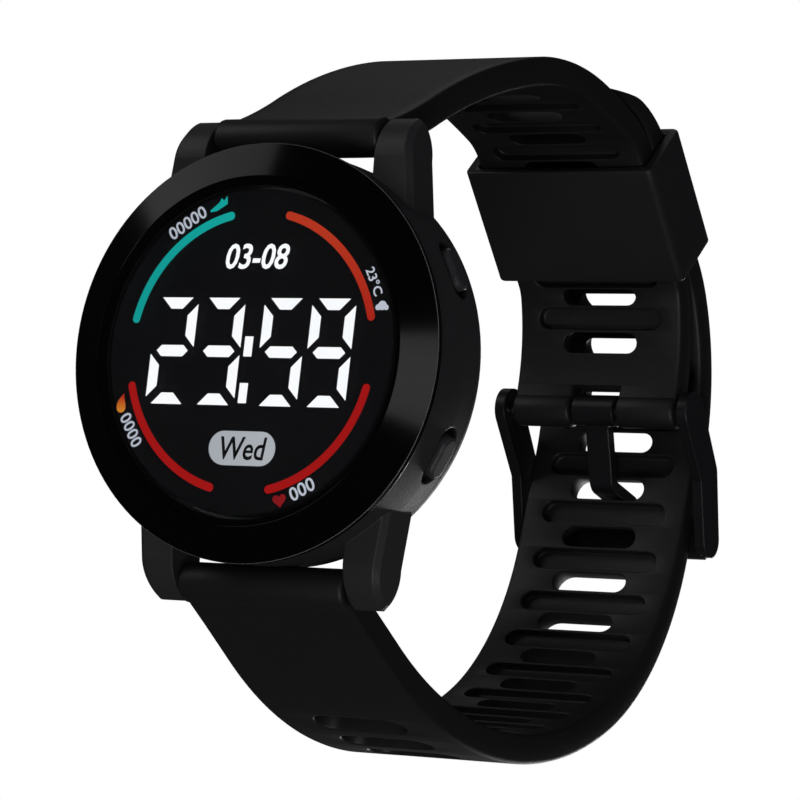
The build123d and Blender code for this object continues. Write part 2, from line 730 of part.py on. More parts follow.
def slots(start, pieces, first, count, thick):
    """Through slots of the strap at even steps, wider outward, and the skin side's grooves between."""
    cuts = []
    for n in range(count):
        at = place_at(start, pieces, first + n * SLOT_PITCH)
        skin = station(at, -thick / 2)
        cuts.append(extrude(skin * SlotOverall(SLOT_LENGTH, SLOT_HEIGHT), thick + SLOT_OVERRUN,
                            taper=-SLOT_DRAFT_DEG))
        cuts.append(extrude(skin * SlotOverall(SLOT_LENGTH, SLOT_HEIGHT), -SLOT_OVERRUN))
        if n + 1 < count:
            at = place_at(start, pieces, first + n * SLOT_PITCH + SLOT_PITCH / 2)
            groove = SlotOverall(STRAP_WIDTH - GROOVE_MARGIN * 2, GROOVE_HEIGHT)
            floor = station(at, GROOVE_DEPTH - thick / 2)
            cuts.append(extrude(floor * groove, -GROOVE_DEPTH - SLOT_OVERRUN))
    return cuts


def lug_roll(bar):
    """Rolled strap end that turns on a lug's spring bar, and the bore through it."""
    return tube_x(bar, LUG_ROLL_R, across_strap), tube_x(bar, BAR_R + BAR_ROOM, across_strap)


def build_upper_strap():
    roll, bore = lug_roll(top_bar)
    body = extrude(Plane.YZ * band(upper_start, upper_path, UPPER_THICK), STRAP_WIDTH / 2, both=True)
    body = (body + roll + tube_x(buckle_bar, BUCKLE_ROLL_R, across_strap)) & strap_plan()
    body -= [bore, tube_x(buckle_bar, BAR_R + BAR_ROOM, across_strap)]
    body -= slots(upper_start, upper_path, UPPER_FIRST_SLOT, UPPER_SLOTS, UPPER_THICK)
    notch_r = BUCKLE_ROLL_R + NOTCH_ROOM
    return body - tube_x(buckle_bar, notch_r, (-NOTCH_WIDTH / 2, NOTCH_WIDTH / 2))


def tail_outline():
    """Thinning end of the long half, lying on the upper half from the straight to its tip."""
    fold = sum(UPPER_LENGTHS)
    lift = UPPER_THICK / 2 + LAYER_GAP
    near, bent, knee, flat, tip = (
        place_at(upper_start, upper_path, distance)
        for distance in (fold + fold_length, fold + fold_length / 2, fold, fold - TAIL_LENGTH / 2,
                         fold - TAIL_LENGTH))
    outer_near = beside(near, lift + LONG_THICK)
    outer_tip = beside(tip, lift + TAIL_TIP_THICK)
    return area(
        Line(beside(near, lift), outer_near),
        ThreePointArc(outer_near, beside(knee, lift + TAIL_FOLD_THICK), outer_tip),
        Line(outer_tip, beside(tip, lift)),
        ThreePointArc(beside(tip, lift), beside(flat, lift), beside(knee, lift)),
        ThreePointArc(beside(knee, lift), beside(bent, lift), beside(near, lift))), tip


def build_lower_strap():
    half = STRAP_WIDTH / 2
    roll, bore = lug_roll(bottom_bar)
    main = extrude(Plane.YZ * band(long_start, long_path, LONG_THICK), half, both=True)
    outline, tip = tail_outline()
    tail = extrude(Plane.YZ * outline, half, both=True)
    body = (main + tail + roll) & strap_plan()
    body -= bore
    body -= slots(long_start, long_path, LONG_FIRST_SLOT, LONG_SLOTS, LONG_THICK)
    corners = Rectangle(STRAP_WIDTH + OVERRUN, TAIL_CORNER_R * 2)
    corners -= Pos(0, TAIL_CORNER_R * 2) * RectangleRounded(STRAP_WIDTH, TAIL_CORNER_R * 4,
                                                            TAIL_CORNER_R)
    above = station(tip, UPPER_THICK / 2)
    return body - extrude(above * corners, LONG_THICK * 2)


def build_keeper():
    middle = place_at(upper_start, upper_path, total(upper_front) + KEEPER_REST + KEEPER_LENGTH / 2)
    inner_height = UPPER_THICK + LAYER_GAP + LONG_THICK + KEEPER_ROOM * 2
    inner_width = STRAP_WIDTH + KEEPER_SIDE_ROOM * 2
    lift = (LAYER_GAP + LONG_THICK) / 2
    frame = station(middle)
    across = Plane(frame.origin, x_dir=(1, 0, 0), z_dir=frame.y_dir)
    outer = RectangleRounded(inner_width + KEEPER_SIDE_WALL * 2, inner_height + KEEPER_WALL * 2,
                             KEEPER_CORNER_R)
    inner = RectangleRounded(inner_width, inner_height, KEEPER_CORNER_R - KEEPER_WALL)
    return extrude(across * Pos(0, -lift) * (outer - inner), KEEPER_LENGTH / 2, both=True)


def crossbar_place():
    return place_at(long_start, long_path, CROSSBAR_STATION)


def build_buckle_frame():
    foot = beside(crossbar_place(), LONG_THICK / 2 + CROSSBAR_GAP + CROSSBAR_THICK / 2)
    knee = (buckle_bar[0] + ARM_KNEE[0], buckle_bar[1] + ARM_KNEE[1])
    head = Pos(*buckle_bar) * Circle(ARM_HEAD_R)
    elbow = Pos(*knee) * Circle(ARM_KNEE_R)
    toe = Pos(*foot) * Circle(ARM_FOOT_R)
    outline = make_hull(head.edges() + elbow.edges()) + make_hull(elbow.edges() + toe.edges())
    arm = extrude(Plane.YZ.offset(buckle_seat) * outline, ARM_THICK)
    middle = station(crossbar_place(), LONG_THICK / 2 + CROSSBAR_GAP + CROSSBAR_THICK / 2)
    section = Plane(middle.origin, x_dir=middle.y_dir, z_dir=(1, 0, 0))
    bar = extrude(section * RectangleRounded(CROSSBAR_HEIGHT, CROSSBAR_THICK, CROSSBAR_EDGE),
                  buckle_seat + ARM_THICK / 2, both=True)
    body = arm + mirror(arm, about=Plane.YZ) + bar
    reach = buckle_seat + TIP_REACH + BAR_END_GAP / 2
    return body - tube_x(buckle_bar, TIP_HOLE_R, (-reach, reach))


def build_tongue():
    """Loop on the buckle bar, a shank down the skin side and out through the strap's slot."""
    passed = LONG_FIRST_SLOT + TONGUE_SLOT * SLOT_PITCH
    slot_at = place_at(long_start, long_path, passed)
    clear = LONG_THICK / 2 + TONGUE_THICK / 2 + TONGUE_TIP_GAP
    bend_in = beside(slot_at, -clear)
    bend_out = beside(slot_at, clear + CROSSBAR_THICK)
    far = place_at(long_start, long_path, passed + TONGUE_TIP_LENGTH)
    tip = beside(far, clear + CROSSBAR_THICK + CROSSBAR_GAP)
    route = FilletPolyline(buckle_bar, bend_in, bend_out, tip, radius=TONGUE_THICK)
    outline = trace(route, TONGUE_THICK)
    shank = extrude(Plane.YZ * outline, TONGUE_WIDTH / 2, both=True)
    loop = tube_x(buckle_bar, TONGUE_LOOP_R, (-TONGUE_LOOP_WIDTH / 2, TONGUE_LOOP_WIDTH / 2))
    hole = tube_x(buckle_bar, BAR_R + BAR_ROOM, across_strap)
    return shank + loop - hole


nodes = {
    "case_middle": build_case_middle(),
    "bezel_ring": build_bezel(),
    "display_glass": along_y(glass_r, glass_front, glass_back),
    "glass_gasket": build_glass_gasket(),
    "segment_frame": build_segment_frame(),
    "time_segments": light_guide(time_sketch()),
    "gauge_arcs_red": light_guide([arc_sketch(span) for span in RED_ARCS_DEG]),
    "gauge_arc_teal": light_guide([arc_sketch(TEAL_ARC_DEG)]),
    "day_pill_light": light_guide([pill_sketch()]),
    "main_board": along_y(frame_r - BOARD_STEP, board_front, board_back),
    "segment_leds": build_leds(),
    "controller_chip": on_board(CHIP_SIZE, CHIP_PLACE),
    "quartz_crystal": on_board(CRYSTAL_SIZE, CRYSTAL_PLACE),
    "module_holder": build_holder(),
    "coin_cell": build_coin_cell(),
    "battery_clip": build_battery_clip(),
    "case_back": build_case_back(),
    "back_gasket": build_back_gasket(),
    "case_back_screws": build_screws(),
    "upper_strap": build_upper_strap(),
    "lower_strap": build_lower_strap(),
    "strap_keeper": build_keeper(),
    "buckle_frame": build_buckle_frame(),
    "buckle_tongue": build_tongue(),
}
for word, angle in zip(("upper", "lower"), BUTTON_DEG):
    nodes[f"{word}_button"] = build_button(angle)
    nodes[f"{word}_button_clip"] = washer(angle, STEM_R, STEM_CLIP_R, stem_clip_inner, STEM_CLIP_THICK)
    nodes[f"{word}_button_seal"] = washer(angle, STEM_R + SEAL_ROOM, SEAL_R, seal_inner, SEAL_THICK)
    nodes[f"{word}_switch_body"] = build_switch(angle)
    nodes[f"{word}_switch_plunger"] = build_plunger(angle)
for word, place, seat in (("top", top_bar, lug_half_gap), ("bottom", bottom_bar, lug_half_gap),
                          ("buckle", buckle_bar, buckle_seat)):
    half = seat - BAR_END_GAP
    nodes[f"{word}_bar_tube"] = bar_tube(place, half)
    nodes[f"{word}_bar_tip_left"] = bar_tip(place, half, seat, -1)
    nodes[f"{word}_bar_tip_right"] = bar_tip(place, half, seat, 1)

for name, solid in nodes.items():
    export_step(solid, f"parts/{name}.step")
    print(name, round(solid.volume, 1), len(solid.solids()))
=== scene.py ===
from math import cos, radians, sin, tan

import bmesh
import bpy
import numpy as np
from mathutils import Matrix, Vector


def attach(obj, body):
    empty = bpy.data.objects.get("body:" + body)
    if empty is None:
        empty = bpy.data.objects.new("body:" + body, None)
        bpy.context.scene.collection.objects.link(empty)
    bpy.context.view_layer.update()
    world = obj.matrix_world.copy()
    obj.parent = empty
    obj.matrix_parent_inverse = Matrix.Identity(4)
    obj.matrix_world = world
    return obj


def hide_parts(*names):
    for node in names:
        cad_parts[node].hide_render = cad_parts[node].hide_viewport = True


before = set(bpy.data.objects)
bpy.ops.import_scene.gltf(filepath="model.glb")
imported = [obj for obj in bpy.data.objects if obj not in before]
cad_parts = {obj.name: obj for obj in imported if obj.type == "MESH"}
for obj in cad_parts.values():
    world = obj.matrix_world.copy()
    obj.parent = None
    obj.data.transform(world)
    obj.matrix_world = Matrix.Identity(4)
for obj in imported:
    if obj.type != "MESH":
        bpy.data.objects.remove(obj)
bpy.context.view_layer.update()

# Case: one moulding of matt black nylon with four lugs. The tool is spark eroded, which leaves
# a fine even grain, so the black turns to a soft grey where light grazes it.
MM = 0.001
CASE_BLACK, CASE_WORN = "#303032", "#38383a"
CASE_GRAIN = 0.25 * MM
EDGE_SOFT = 0.25 * MM
SHADE_PATCH = 12 * MM


def linear(colour):
    """An sRGB hex colour as linear RGBA: c / 12.92 below 0.04045, else ((c + 0.055) / 1.055) ** 2.4."""
    parts = np.array([int(colour[i:i + 2], 16) / 255 for i in (1, 3, 5)])
    bright = np.where(parts <= 0.04045, parts / 12.92, ((parts + 0.055) / 1.055) ** 2.4)
    return (*bright, 1.0)


def add(tree, kind, inputs, settings=()):
    """One node of a material. An input given as a socket is linked, any other value is set."""
    made = tree.nodes.new(kind)
    for name, value in dict(settings).items():
        setattr(made, name, value)
    for name, value in inputs.items():
        if isinstance(value, bpy.types.NodeSocket):
            tree.links.new(value, made.inputs[name])
        else:
            made.inputs[name].default_value = value
    return made


def finish_named(name):
    """An empty material and the place of its patterns on the piece, in metres."""
    made = bpy.data.materials.new(name)
    made.use_nodes = True
    made.node_tree.nodes.clear()
    return made, made.node_tree, add(made.node_tree, "ShaderNodeTexCoord", {}).outputs["Object"]


def surface(tree, shader):
    """End a material in its shader."""
    add(tree, "ShaderNodeOutputMaterial", {"Surface": shader.outputs[0]})


def moulded(name, dark, light, rough, grain, relief, soft=EDGE_SOFT):
    """Moulded plastic or rubber: two shades mixed by slow noise, and a fine grain as bump."""
    made, tree, spot = finish_named(name)
    slow = add(tree, "ShaderNodeTexNoise", {"Vector": spot, "Scale": 1 / SHADE_PATCH, "Detail": 3.0})
    fine = add(tree, "ShaderNodeTexNoise", {"Vector": spot, "Scale": 1 / grain, "Detail": 2.0})
    shade = add(tree, "ShaderNodeMix", {"Factor": slow.outputs["Fac"], "A": linear(dark),
                                        "B": linear(light)}, {"data_type": "RGBA"})
    gloss = add(tree, "ShaderNodeMapRange", {"Value": fine.outputs["Fac"], "To Min": rough - 0.05,
                                             "To Max": rough + 0.07})
    edge = add(tree, "ShaderNodeBevel", {"Radius": soft}, {"samples": 6})
    bump = add(tree, "ShaderNodeBump", {"Height": fine.outputs["Fac"], "Strength": relief,
                                        "Distance": grain / 4, "Normal": edge.outputs[0]})
    surface(tree, add(tree, "ShaderNodeBsdfPrincipled", {
        "Base Color": shade.outputs["Result"], "Roughness": gloss.outputs["Result"],
        "Normal": bump.outputs[0], "IOR": 1.5}))
    return made


def finish(material, *nodes):
    """Put a material on CAD nodes, whose shape is already the finished one."""
    for node in nodes:
        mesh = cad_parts[node].data
        mesh.materials.clear()
        mesh.materials.append(material)


finish(moulded("moulded_black_nylon", CASE_BLACK, CASE_WORN, rough=0.46, grain=CASE_GRAIN, relief=0.35),
       "case_middle")


# Bezel: a ring turned and lacquered in piano black. It mirrors the lamps as soft bands, and a fine
# light line is painted along its rounded outer edge as a painted highlight.
# The second colour is a painted highlight for the rounded outer edge, not a colour of the lacquer.
BEZEL_BLACK, BEZEL_EDGE_HIGHLIGHT = "#060607", "#a0a0a2"
BEZEL_EDGE_SOFT, LACQUER_PEEL = 0.14 * MM, 2.5 * MM
BEZEL_RIM_FROM, BEZEL_RIM_TO = 19.5 * MM, 19.8 * MM
BEZEL_TURN_FROM, BEZEL_TURN_TO = 0.995, 0.9


def edge_share(tree, edge, begin, end, most=1.0):
    """How sharp the edge is here: 0 to most as the cosine between its rounded normal and the
    true one falls from begin to end."""
    shape = add(tree, "ShaderNodeNewGeometry", {})
    turned = add(tree, "ShaderNodeVectorMath", {0: edge.outputs[0], 1: shape.outputs["Normal"]},
                 {"operation": "DOT_PRODUCT"})
    share = add(tree, "ShaderNodeMapRange", {"Value": turned.outputs["Value"], "From Min": begin,
                                             "From Max": end, "To Max": most})
    return share.outputs["Result"]


lacquer, tree, spot = finish_named("gloss_black_lacquer")
peel = add(tree, "ShaderNodeTexNoise", {"Vector": spot, "Scale": 1 / LACQUER_PEEL, "Detail": 1.0})
edge = add(tree, "ShaderNodeBevel", {"Radius": BEZEL_EDGE_SOFT}, {"samples": 8})
bump = add(tree, "ShaderNodeBump", {"Height": peel.outputs["Fac"], "Strength": 0.02,
                                    "Distance": 0.1 * MM, "Normal": edge.outputs[0]})
flat = add(tree, "ShaderNodeVectorMath", {0: spot, 1: (1, 0, 1)}, {"operation": "MULTIPLY"})
away = add(tree, "ShaderNodeVectorMath", {0: flat.outputs[0]}, {"operation": "LENGTH"})
rim = add(tree, "ShaderNodeMapRange", {"Value": away.outputs["Value"], "From Min": BEZEL_RIM_FROM,
                                       "From Max": BEZEL_RIM_TO})
# Painted highlight: the pale colour is mixed into the black where the rounded outer edge turns, within the
# rim's radii.
edge_highlight = add(tree, "ShaderNodeMath", {0: edge_share(tree, edge, BEZEL_TURN_FROM, BEZEL_TURN_TO),
                                    1: rim.outputs["Result"]}, {"operation": "MULTIPLY"})
lacquer_and_highlight = add(tree, "ShaderNodeMix", {"Factor": edge_highlight.outputs[0], "A": linear(BEZEL_BLACK),
                                   "B": linear(BEZEL_EDGE_HIGHLIGHT)}, {"data_type": "RGBA"})
surface(tree, add(tree, "ShaderNodeBsdfPrincipled", {
    "Base Color": lacquer_and_highlight.outputs["Result"], "Roughness": 0.13, "Normal": bump.outputs[0], "IOR": 1.25}))
finish(lacquer, "bezel_ring")


# Glass: flat hardened mineral glass, faintly smoked, bonded on a black gasket. It bends the
# view of the lights under it and gives a weak clean reflection.
GLASS_CLEAR, GLASS_SMOKED, GLASS_PATCH = "#f6f8fa", "#f2f4f7", 8 * MM

glass, tree, spot = finish_named("smoked_mineral_glass")
haze = add(tree, "ShaderNodeTexNoise", {"Vector": spot, "Scale": 1 / GLASS_PATCH})
tint = add(tree, "ShaderNodeMix", {"Factor": haze.outputs["Fac"], "A": linear(GLASS_CLEAR),
                                   "B": linear(GLASS_SMOKED)}, {"data_type": "RGBA"})
surface(tree, add(tree, "ShaderNodeBsdfPrincipled", {
    "Base Color": tint.outputs["Result"], "Roughness": 0.0, "Transmission Weight": 1.0, "IOR": 1.5}))
finish(glass, "display_glass")


# Seals: moulded black rubber. One lies under the glass, one under the case back, and each
# button's stem runs through a small one in the case wall.
SEAL_BLACK, SEAL_DUSTY = "#101011", "#171718"
FINE_GRAIN = 0.2 * MM

seal_rubber = moulded("moulded_seal_rubber", SEAL_BLACK, SEAL_DUSTY, rough=0.6, grain=FINE_GRAIN,
                      relief=0.2)
finish(seal_rubber, "glass_gasket", "back_gasket", "upper_button_seal", "lower_button_seal")


# Light frame: dead black moulded plastic behind the glass, so that only the lit openings show.
# Clear diffusers fill the openings and glow evenly.
FRAME_BLACK, FRAME_WORN, FRAME_GRAIN = "#111113", "#121214", 0.3 * MM
BARS_EDGE, RED_FROM, RED_TO = 12 * MM, -1 * MM, 11 * MM
TEAL_FROM, TEAL_TO, PILL_EDGE = -13 * MM, -3 * MM, 4 * MM

finish(moulded("flat_black_light_frame", FRAME_BLACK, FRAME_WORN, rough=0.8, grain=FRAME_GRAIN,
               relief=0.02), "segment_frame")


def glowing(name, low, high, begin, end, strength, axis="X"):
    """Lit diffuser whose colour runs from one hex value to another along an axis of the face."""
    made, tree, spot = finish_named(name)
    apart = add(tree, "ShaderNodeSeparateXYZ", {"Vector": spot})
    run = add(tree, "ShaderNodeMapRange", {"Value": apart.outputs[axis], "From Min": begin,
                                           "From Max": end})
    colour = add(tree, "ShaderNodeMix", {"Factor": run.outputs["Result"], "A": linear(low),
                                         "B": linear(high)}, {"data_type": "RGBA"})
    surface(tree, add(tree, "ShaderNodeEmission", {"Color": colour.outputs["Result"],
                                                   "Strength": strength}))
    return made


white_light = glowing("white_lit_diffuser", "#ffffff", "#fdfeff", -BARS_EDGE, BARS_EDGE, 1.15)
red_light = glowing("red_lit_diffuser", "#a31312", "#b8361e", RED_FROM, RED_TO, 1.08, axis="Z")
teal_light = glowing("teal_lit_diffuser", "#109b93", "#12a59c", TEAL_FROM, TEAL_TO, 1.08)
pale_light = glowing("pale_lit_diffuser", "#a9adb2", "#b0b4b8", -PILL_EDGE, PILL_EDGE, 1.1)
finish(white_light, "time_segments")
finish(red_light, "gauge_arcs_red")
finish(teal_light, "gauge_arc_teal")
finish(pale_light, "day_pill_light")


# Small readouts: plain figures and signs printed in the light frame's front film and lit from
# behind. The date stands above the hours, the day on its lit panel, and each gauge has its own.
FILM_FRONT, FILM_BACK = -10.69 * MM, -10.66 * MM
FIGURE_POINTS = 3
GAUGE_WEIGHT = 0.012
DATE_SIZE, DATE_PLACE, DATE_SLANT, DATE_WEIGHT = (7.0, 2.45), (0.09, 9.1), 0.22, 0.016
DAY_SIZE, DAY_PLACE, DAY_SLANT, DAY_WEIGHT = (5.1, 2.2), (0.2, -9.22), 0.2, 0.012
GAUGE_FIGURES = (  # name, figures, angle on the face, radius, (width, height), lean
    ("steps_figures", "00000", 123.2, 14.75, (4.5, 1.3), 33),
    ("heat_figures", "0000", 211.6, 14.8, (3.5, 1.3), -59),
    ("pulse_figures", "000", 298.4, 14.62, (2.8, 1.35), 29),
    ("weather_figures", "23°C", 27.4, 14.7, (2.8, 1.0), -64))


def on_film(name, points, faces, material):
    """A flat figure as thick as the film, from points (across, up) in metres: the same outline
    at the film's front, and at its back with the faces turned round."""
    flat = np.asarray(points, float)
    count = len(flat)
    both = np.concatenate([
        np.column_stack([flat[:, 0], np.full(count, depth), flat[:, 1]])
        for depth in (FILM_FRONT, FILM_BACK)])
    mesh = bpy.data.meshes.new(name)
    back = [[i + count for i in reversed(face)] for face in faces]
    mesh.from_pydata(both.tolist(), [], [list(face) for face in faces] + back)
    mesh.materials.append(material)
    piece = bpy.data.objects.new(name, mesh)
    bpy.context.scene.collection.objects.link(piece)
    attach(piece, "watch")
    return piece


def leaned(flat, lean_deg):
    """Points (x, y) turned by the angle a: (x cos a - y sin a, x sin a + y cos a)."""
    angle = radians(lean_deg)
    return flat @ np.array([[cos(angle), sin(angle)], [-sin(angle), cos(angle)]])


def at_angle(angle_deg, radius):
    """The place R (cos a, sin a) on the face, in mm."""
    return np.array((radius * cos(radians(angle_deg)), radius * sin(radians(angle_deg))))


def lettering(name, words, size, centre, slant, weight, material, lean_deg=0):
    """Plain figures whose outline is scaled to (width, height) in mm about its own middle, then
    leaned and moved to its centre."""
    text = bpy.data.curves.new(name + "_outline", "FONT")
    text.body, text.shear, text.offset, text.fill_mode = words, slant, weight, "FRONT"
    text.resolution_u = FIGURE_POINTS
    maker = bpy.data.objects.new(name + "_outline", text)
    bpy.context.scene.collection.objects.link(maker)
    seen = maker.evaluated_get(bpy.context.evaluated_depsgraph_get())
    outline = bpy.data.meshes.new_from_object(seen)
    points = np.empty(len(outline.vertices) * 3)
    outline.vertices.foreach_get("co", points)
    flat = points.reshape(-1, 3)[:, :2]
    low, high = flat.min(0), flat.max(0)
    flat = (flat - (low + high) / 2) / (high - low) * np.array(size) * MM
    faces = [list(face.vertices) for face in outline.polygons]
    bpy.data.objects.remove(maker)
    bpy.data.meshes.remove(outline)
    return on_film(name, leaned(flat, lean_deg) + np.array(centre) * MM, faces, material)


ink = moulded("dark_day_ink", "#15161c", "#1b1c22", rough=0.6, grain=FINE_GRAIN, relief=0.05)
dim_light = glowing("soft_white_lit_film", "#b9bfca", "#c6ccd6", -15 * MM, 15 * MM, 1.0)
lettering("date_figures", "03-08", DATE_SIZE, DATE_PLACE, DATE_SLANT, DATE_WEIGHT, white_light)
lettering("day_word", "Wed", DAY_SIZE, DAY_PLACE, DAY_SLANT, DAY_WEIGHT, ink)
for name, words, angle_deg, radius, size, lean_deg in GAUGE_FIGURES:
    lettering(name, words, size, at_angle(angle_deg, radius), 0, GAUGE_WEIGHT, dim_light, lean_deg)


# Signs: a shoe, a flame drop, a cloud and a heart beside the gauges' figures, printed and lit
# in the same film. Each is one filled outline.
SIGN_SWEEP = np.linspace(0, 2 * np.pi, 48, endpoint=False)
HEART_UNIT, DROP_WIDTH, DROP_HEIGHT, DROP_CURL = 0.031, 0.4, 0.55, 0.5
CLOUD_PUFFS, CLOUD_BASE = ((-0.3, -0.02, 0.22), (0.04, 0.12, 0.34), (0.36, -0.02, 0.2)), -0.22
SHOE = ((-0.5, -0.46, -0.1, 0.5, 0.44, 0.28, 0.12, 0.02, -0.22),
        (-0.28, -0.36, -0.3, 0.06, 0.46, 0.22, 0.36, 0.14, -0.06))


def heart():
    """Across 16 sin^3 t and up 13 cos t - 5 cos 2t - 2 cos 3t - cos 4t, in small units."""
    t = SIGN_SWEEP
    return (HEART_UNIT * 16 * np.sin(t) ** 3,
            HEART_UNIT * (13 * np.cos(t) - 5 * np.cos(2 * t) - 2 * np.cos(3 * t) - np.cos(4 * t)))


def drop():
    """Across w sin t |sin t/2|^1.3, pushed aside by the square of its height above the middle,
    and up h cos t."""
    t = SIGN_SWEEP
    up = DROP_HEIGHT * np.cos(t)
    across = DROP_WIDTH * np.sin(t) * np.abs(np.sin(t / 2)) ** 1.3 + DROP_CURL * np.maximum(up, 0) ** 2
    return across, up


def cloud():
    """Outline of circles (x, y, r) seen from the origin: the farthest hit d.c + sqrt(r2 - c2 +
    (d.c)2) of each ray d, with everything under the base laid flat."""
    ray = np.column_stack([np.cos(SIGN_SWEEP), np.sin(SIGN_SWEEP)])
    puffs = np.array(CLOUD_PUFFS)
    toward = ray @ puffs[:, :2].T
    under = puffs[:, 2] ** 2 - (puffs[:, :2] ** 2).sum(1) + toward ** 2
    far = np.where(under > 0, toward + np.sqrt(np.maximum(under, 0)), 0).max(1)
    return far * ray[:, 0], np.maximum(far * ray[:, 1], CLOUD_BASE)


def sign(name, shape, size, angle_deg, radius, lean_deg, material):
    """A filled sign of (across, up) arrays of unit size, scaled to mm and placed as the figures."""
    flat = leaned(np.column_stack(shape) * size * MM, lean_deg)
    return on_film(name, flat + at_angle(angle_deg, radius) * MM, [list(range(len(flat)))], material)


amber_light = glowing("amber_lit_film", "#d08128", "#b02c1a", -5.9 * MM, -4.6 * MM, 1.05, axis="Z")
heart_light = glowing("dark_red_lit_film", "#7c1216", "#8a171b", 3 * MM, 5 * MM, 1.05)
sign("steps_sign", SHOE, 1.9, 108.4, 14.8, 0, teal_light)
sign("heat_sign", drop(), 1.7, 200.3, 14.9, 0, amber_light)
sign("weather_sign", cloud(), 1.3, 17.2, 14.7, 0, dim_light)
sign("pulse_sign", heart(), 1.45, 288.2, 14.72, 12, heart_light)


# Push buttons: moulded caps of satin grey-black plastic, lighter than the case, each on a stem
# with a steel retaining ring inside the case wall.
BUTTON_GREY, BUTTON_WORN = "#37373a", "#414144"

finish(moulded("satin_button_plastic", BUTTON_GREY, BUTTON_WORN, rough=0.36, grain=0.3 * MM,
               relief=0.15, soft=0.2 * MM), "upper_button", "lower_button")


# Steel pieces: the pressed and brushed case back with its screws, the spring bars that hold the
# strap and the buckle, and inside the cell with its clip and the rings on the buttons' stems.
STEEL_GREY, STEEL_ROUGH = "#a6a6a9", 0.32
BRUSH_LINE, BRUSH_STRETCH = 0.12 * MM, 0.08
STEEL_EDGE_SOFT = 0.08 * MM


def steel(name, colour, rough, line):
    """Stainless steel brushed one way: noise stretched along X makes hairlines of one width."""
    made, tree, spot = finish_named(name)
    stretched = add(tree, "ShaderNodeMapping", {"Vector": spot, "Scale": (BRUSH_STRETCH, 1, 1)})
    hairline = add(tree, "ShaderNodeTexNoise", {"Vector": stretched.outputs[0], "Scale": 1 / line,
                                                "Detail": 3.0})
    gloss = add(tree, "ShaderNodeMapRange", {"Value": hairline.outputs["Fac"], "To Min": rough - 0.08,
                                             "To Max": rough + 0.12})
    edge = add(tree, "ShaderNodeBevel", {"Radius": STEEL_EDGE_SOFT}, {"samples": 4})
    bump = add(tree, "ShaderNodeBump", {"Height": hairline.outputs["Fac"], "Strength": 0.08,
                                        "Distance": line / 4, "Normal": edge.outputs[0]})
    surface(tree, add(tree, "ShaderNodeBsdfPrincipled", {
        "Base Color": linear(colour), "Metallic": 1.0, "Roughness": gloss.outputs["Result"],
        "Normal": bump.outputs[0]}))
    return made


brushed = steel("brushed_stainless_steel", STEEL_GREY, STEEL_ROUGH, BRUSH_LINE)
finish(brushed, "case_back", "case_back_screws", "battery_clip", "coin_cell", "quartz_crystal",
       "upper_button_clip", "lower_button_clip",
       *(f"{bar}_bar_{part}" for bar in ("top", "bottom", "buckle")
         for part in ("tube", "tip_left", "tip_right")))


# Inside the case: a green board with black epoxy parts and white LED chips soldered to it, in a
# holder of natural moulded plastic. None of it shows while the watch is closed.
MASK_GREEN, MASK_PALE = "#123d24", "#174a2c"
EPOXY_BLACK, EPOXY_WORN = "#161617", "#1d1d1f"
HOLDER_PALE, HOLDER_LIGHT = "#c9c7bf", "#d6d4cc"
LED_PALE, LED_LIGHT = "#e8e8e2", "#f2f2ee"
MASK_GRAIN = 0.4 * MM

finish(moulded("green_solder_mask", MASK_GREEN, MASK_PALE, rough=0.35, grain=MASK_GRAIN, relief=0.1),
       "main_board")
finish(moulded("black_epoxy", EPOXY_BLACK, EPOXY_WORN, rough=0.5, grain=FINE_GRAIN, relief=0.1),
       "controller_chip", "upper_switch_body", "lower_switch_body")
finish(moulded("natural_moulded_plastic", HOLDER_PALE, HOLDER_LIGHT, rough=0.5, grain=MASK_GRAIN,
               relief=0.1), "module_holder", "upper_switch_plunger", "lower_switch_plunger")
finish(moulded("white_led_package", LED_PALE, LED_LIGHT, rough=0.4, grain=FINE_GRAIN, relief=0.05),
       "segment_leds")


# Strap: two compression moulded halves of black silicone rubber, slotted right through for the
# tongue and grooved between the slots on the skin side, with all edges rounded in the mould.
# Both lie buckled, the long half over the buckle half, along chains of (length, turn) arcs.
SILICONE_BLACK, SILICONE_WORN = "#1a1a1b", "#202021"
SILICONE_GRAIN, SILICONE_EDGE_SOFT = 0.35 * MM, 0.1 * MM
BAR_PLACE = (-4.3, 21.7)
UPPER_THICK, LONG_THICK, LAYER_GAP = 3.0, 3.1, 0.25
UPPER_START_DEG, STRAIGHT_DEG = 20.1, -47.0
UPPER_TOP = ((10.4, 9.2), (22.0, -16.0), (14.3, -25.8), (7.4, -4.8))
FOLD_R, STRAIGHT_LENGTH, UPPER_END = 9.0, 16.4, ((2.2, -25.6), (12.86, -32.0))
LONG_COURSE = ((17.5, 0), (3.6, -14.3), (18.6, -43.2), (9.9, 1.6), (27.389, -54.5), (24.4, -28.7),
               (22.4, -26.0), (11.298, 0))
STRAP_LUG_WIDTH, STRAP_WIDTH, TAPER_END_Y = 18.4, 20.0, 40.0
TAIL_LENGTH, TAIL_FOLD_THICK, TAIL_TIP_THICK, TAIL_CORNER_R = 5.0, 1.9, 1.0, 6.0
SLOT_PITCH, SLOT_SIZE, GROOVE_SIZE, GROOVE_DEPTH = 5.7, (9.0, 2.4), (15.2, 2.5), 1.0
SLOT_DRAFT, SLOT_TILE_OUT, SLOT_TILE_IN = tan(radians(11)), 4.4, 2.85
UPPER_FIRST_SLOT, UPPER_SLOT_COUNT, NOTCH_DEPTH = 42.6, 8, 2.6
LONG_FIRST_SLOT, LONG_SLOT_COUNT = 3.8, 20
STRAP_EDGE, SLOT_EDGE, SKIN_EDGE = 0.45, 0.25, 0.15
PLAIN_TILE, TIP_TILES, TIP_SUNK = 2.5, 5, 0.02
SEAM, CREASE_DEG = 0.004 * MM, 50
ACROSS, ALONG, ROUND = 17, 7, 4

silicone = moulded("moulded_black_silicone", SILICONE_BLACK, SILICONE_WORN, rough=0.5,
                   grain=SILICONE_GRAIN, relief=0.22, soft=SILICONE_EDGE_SOFT)


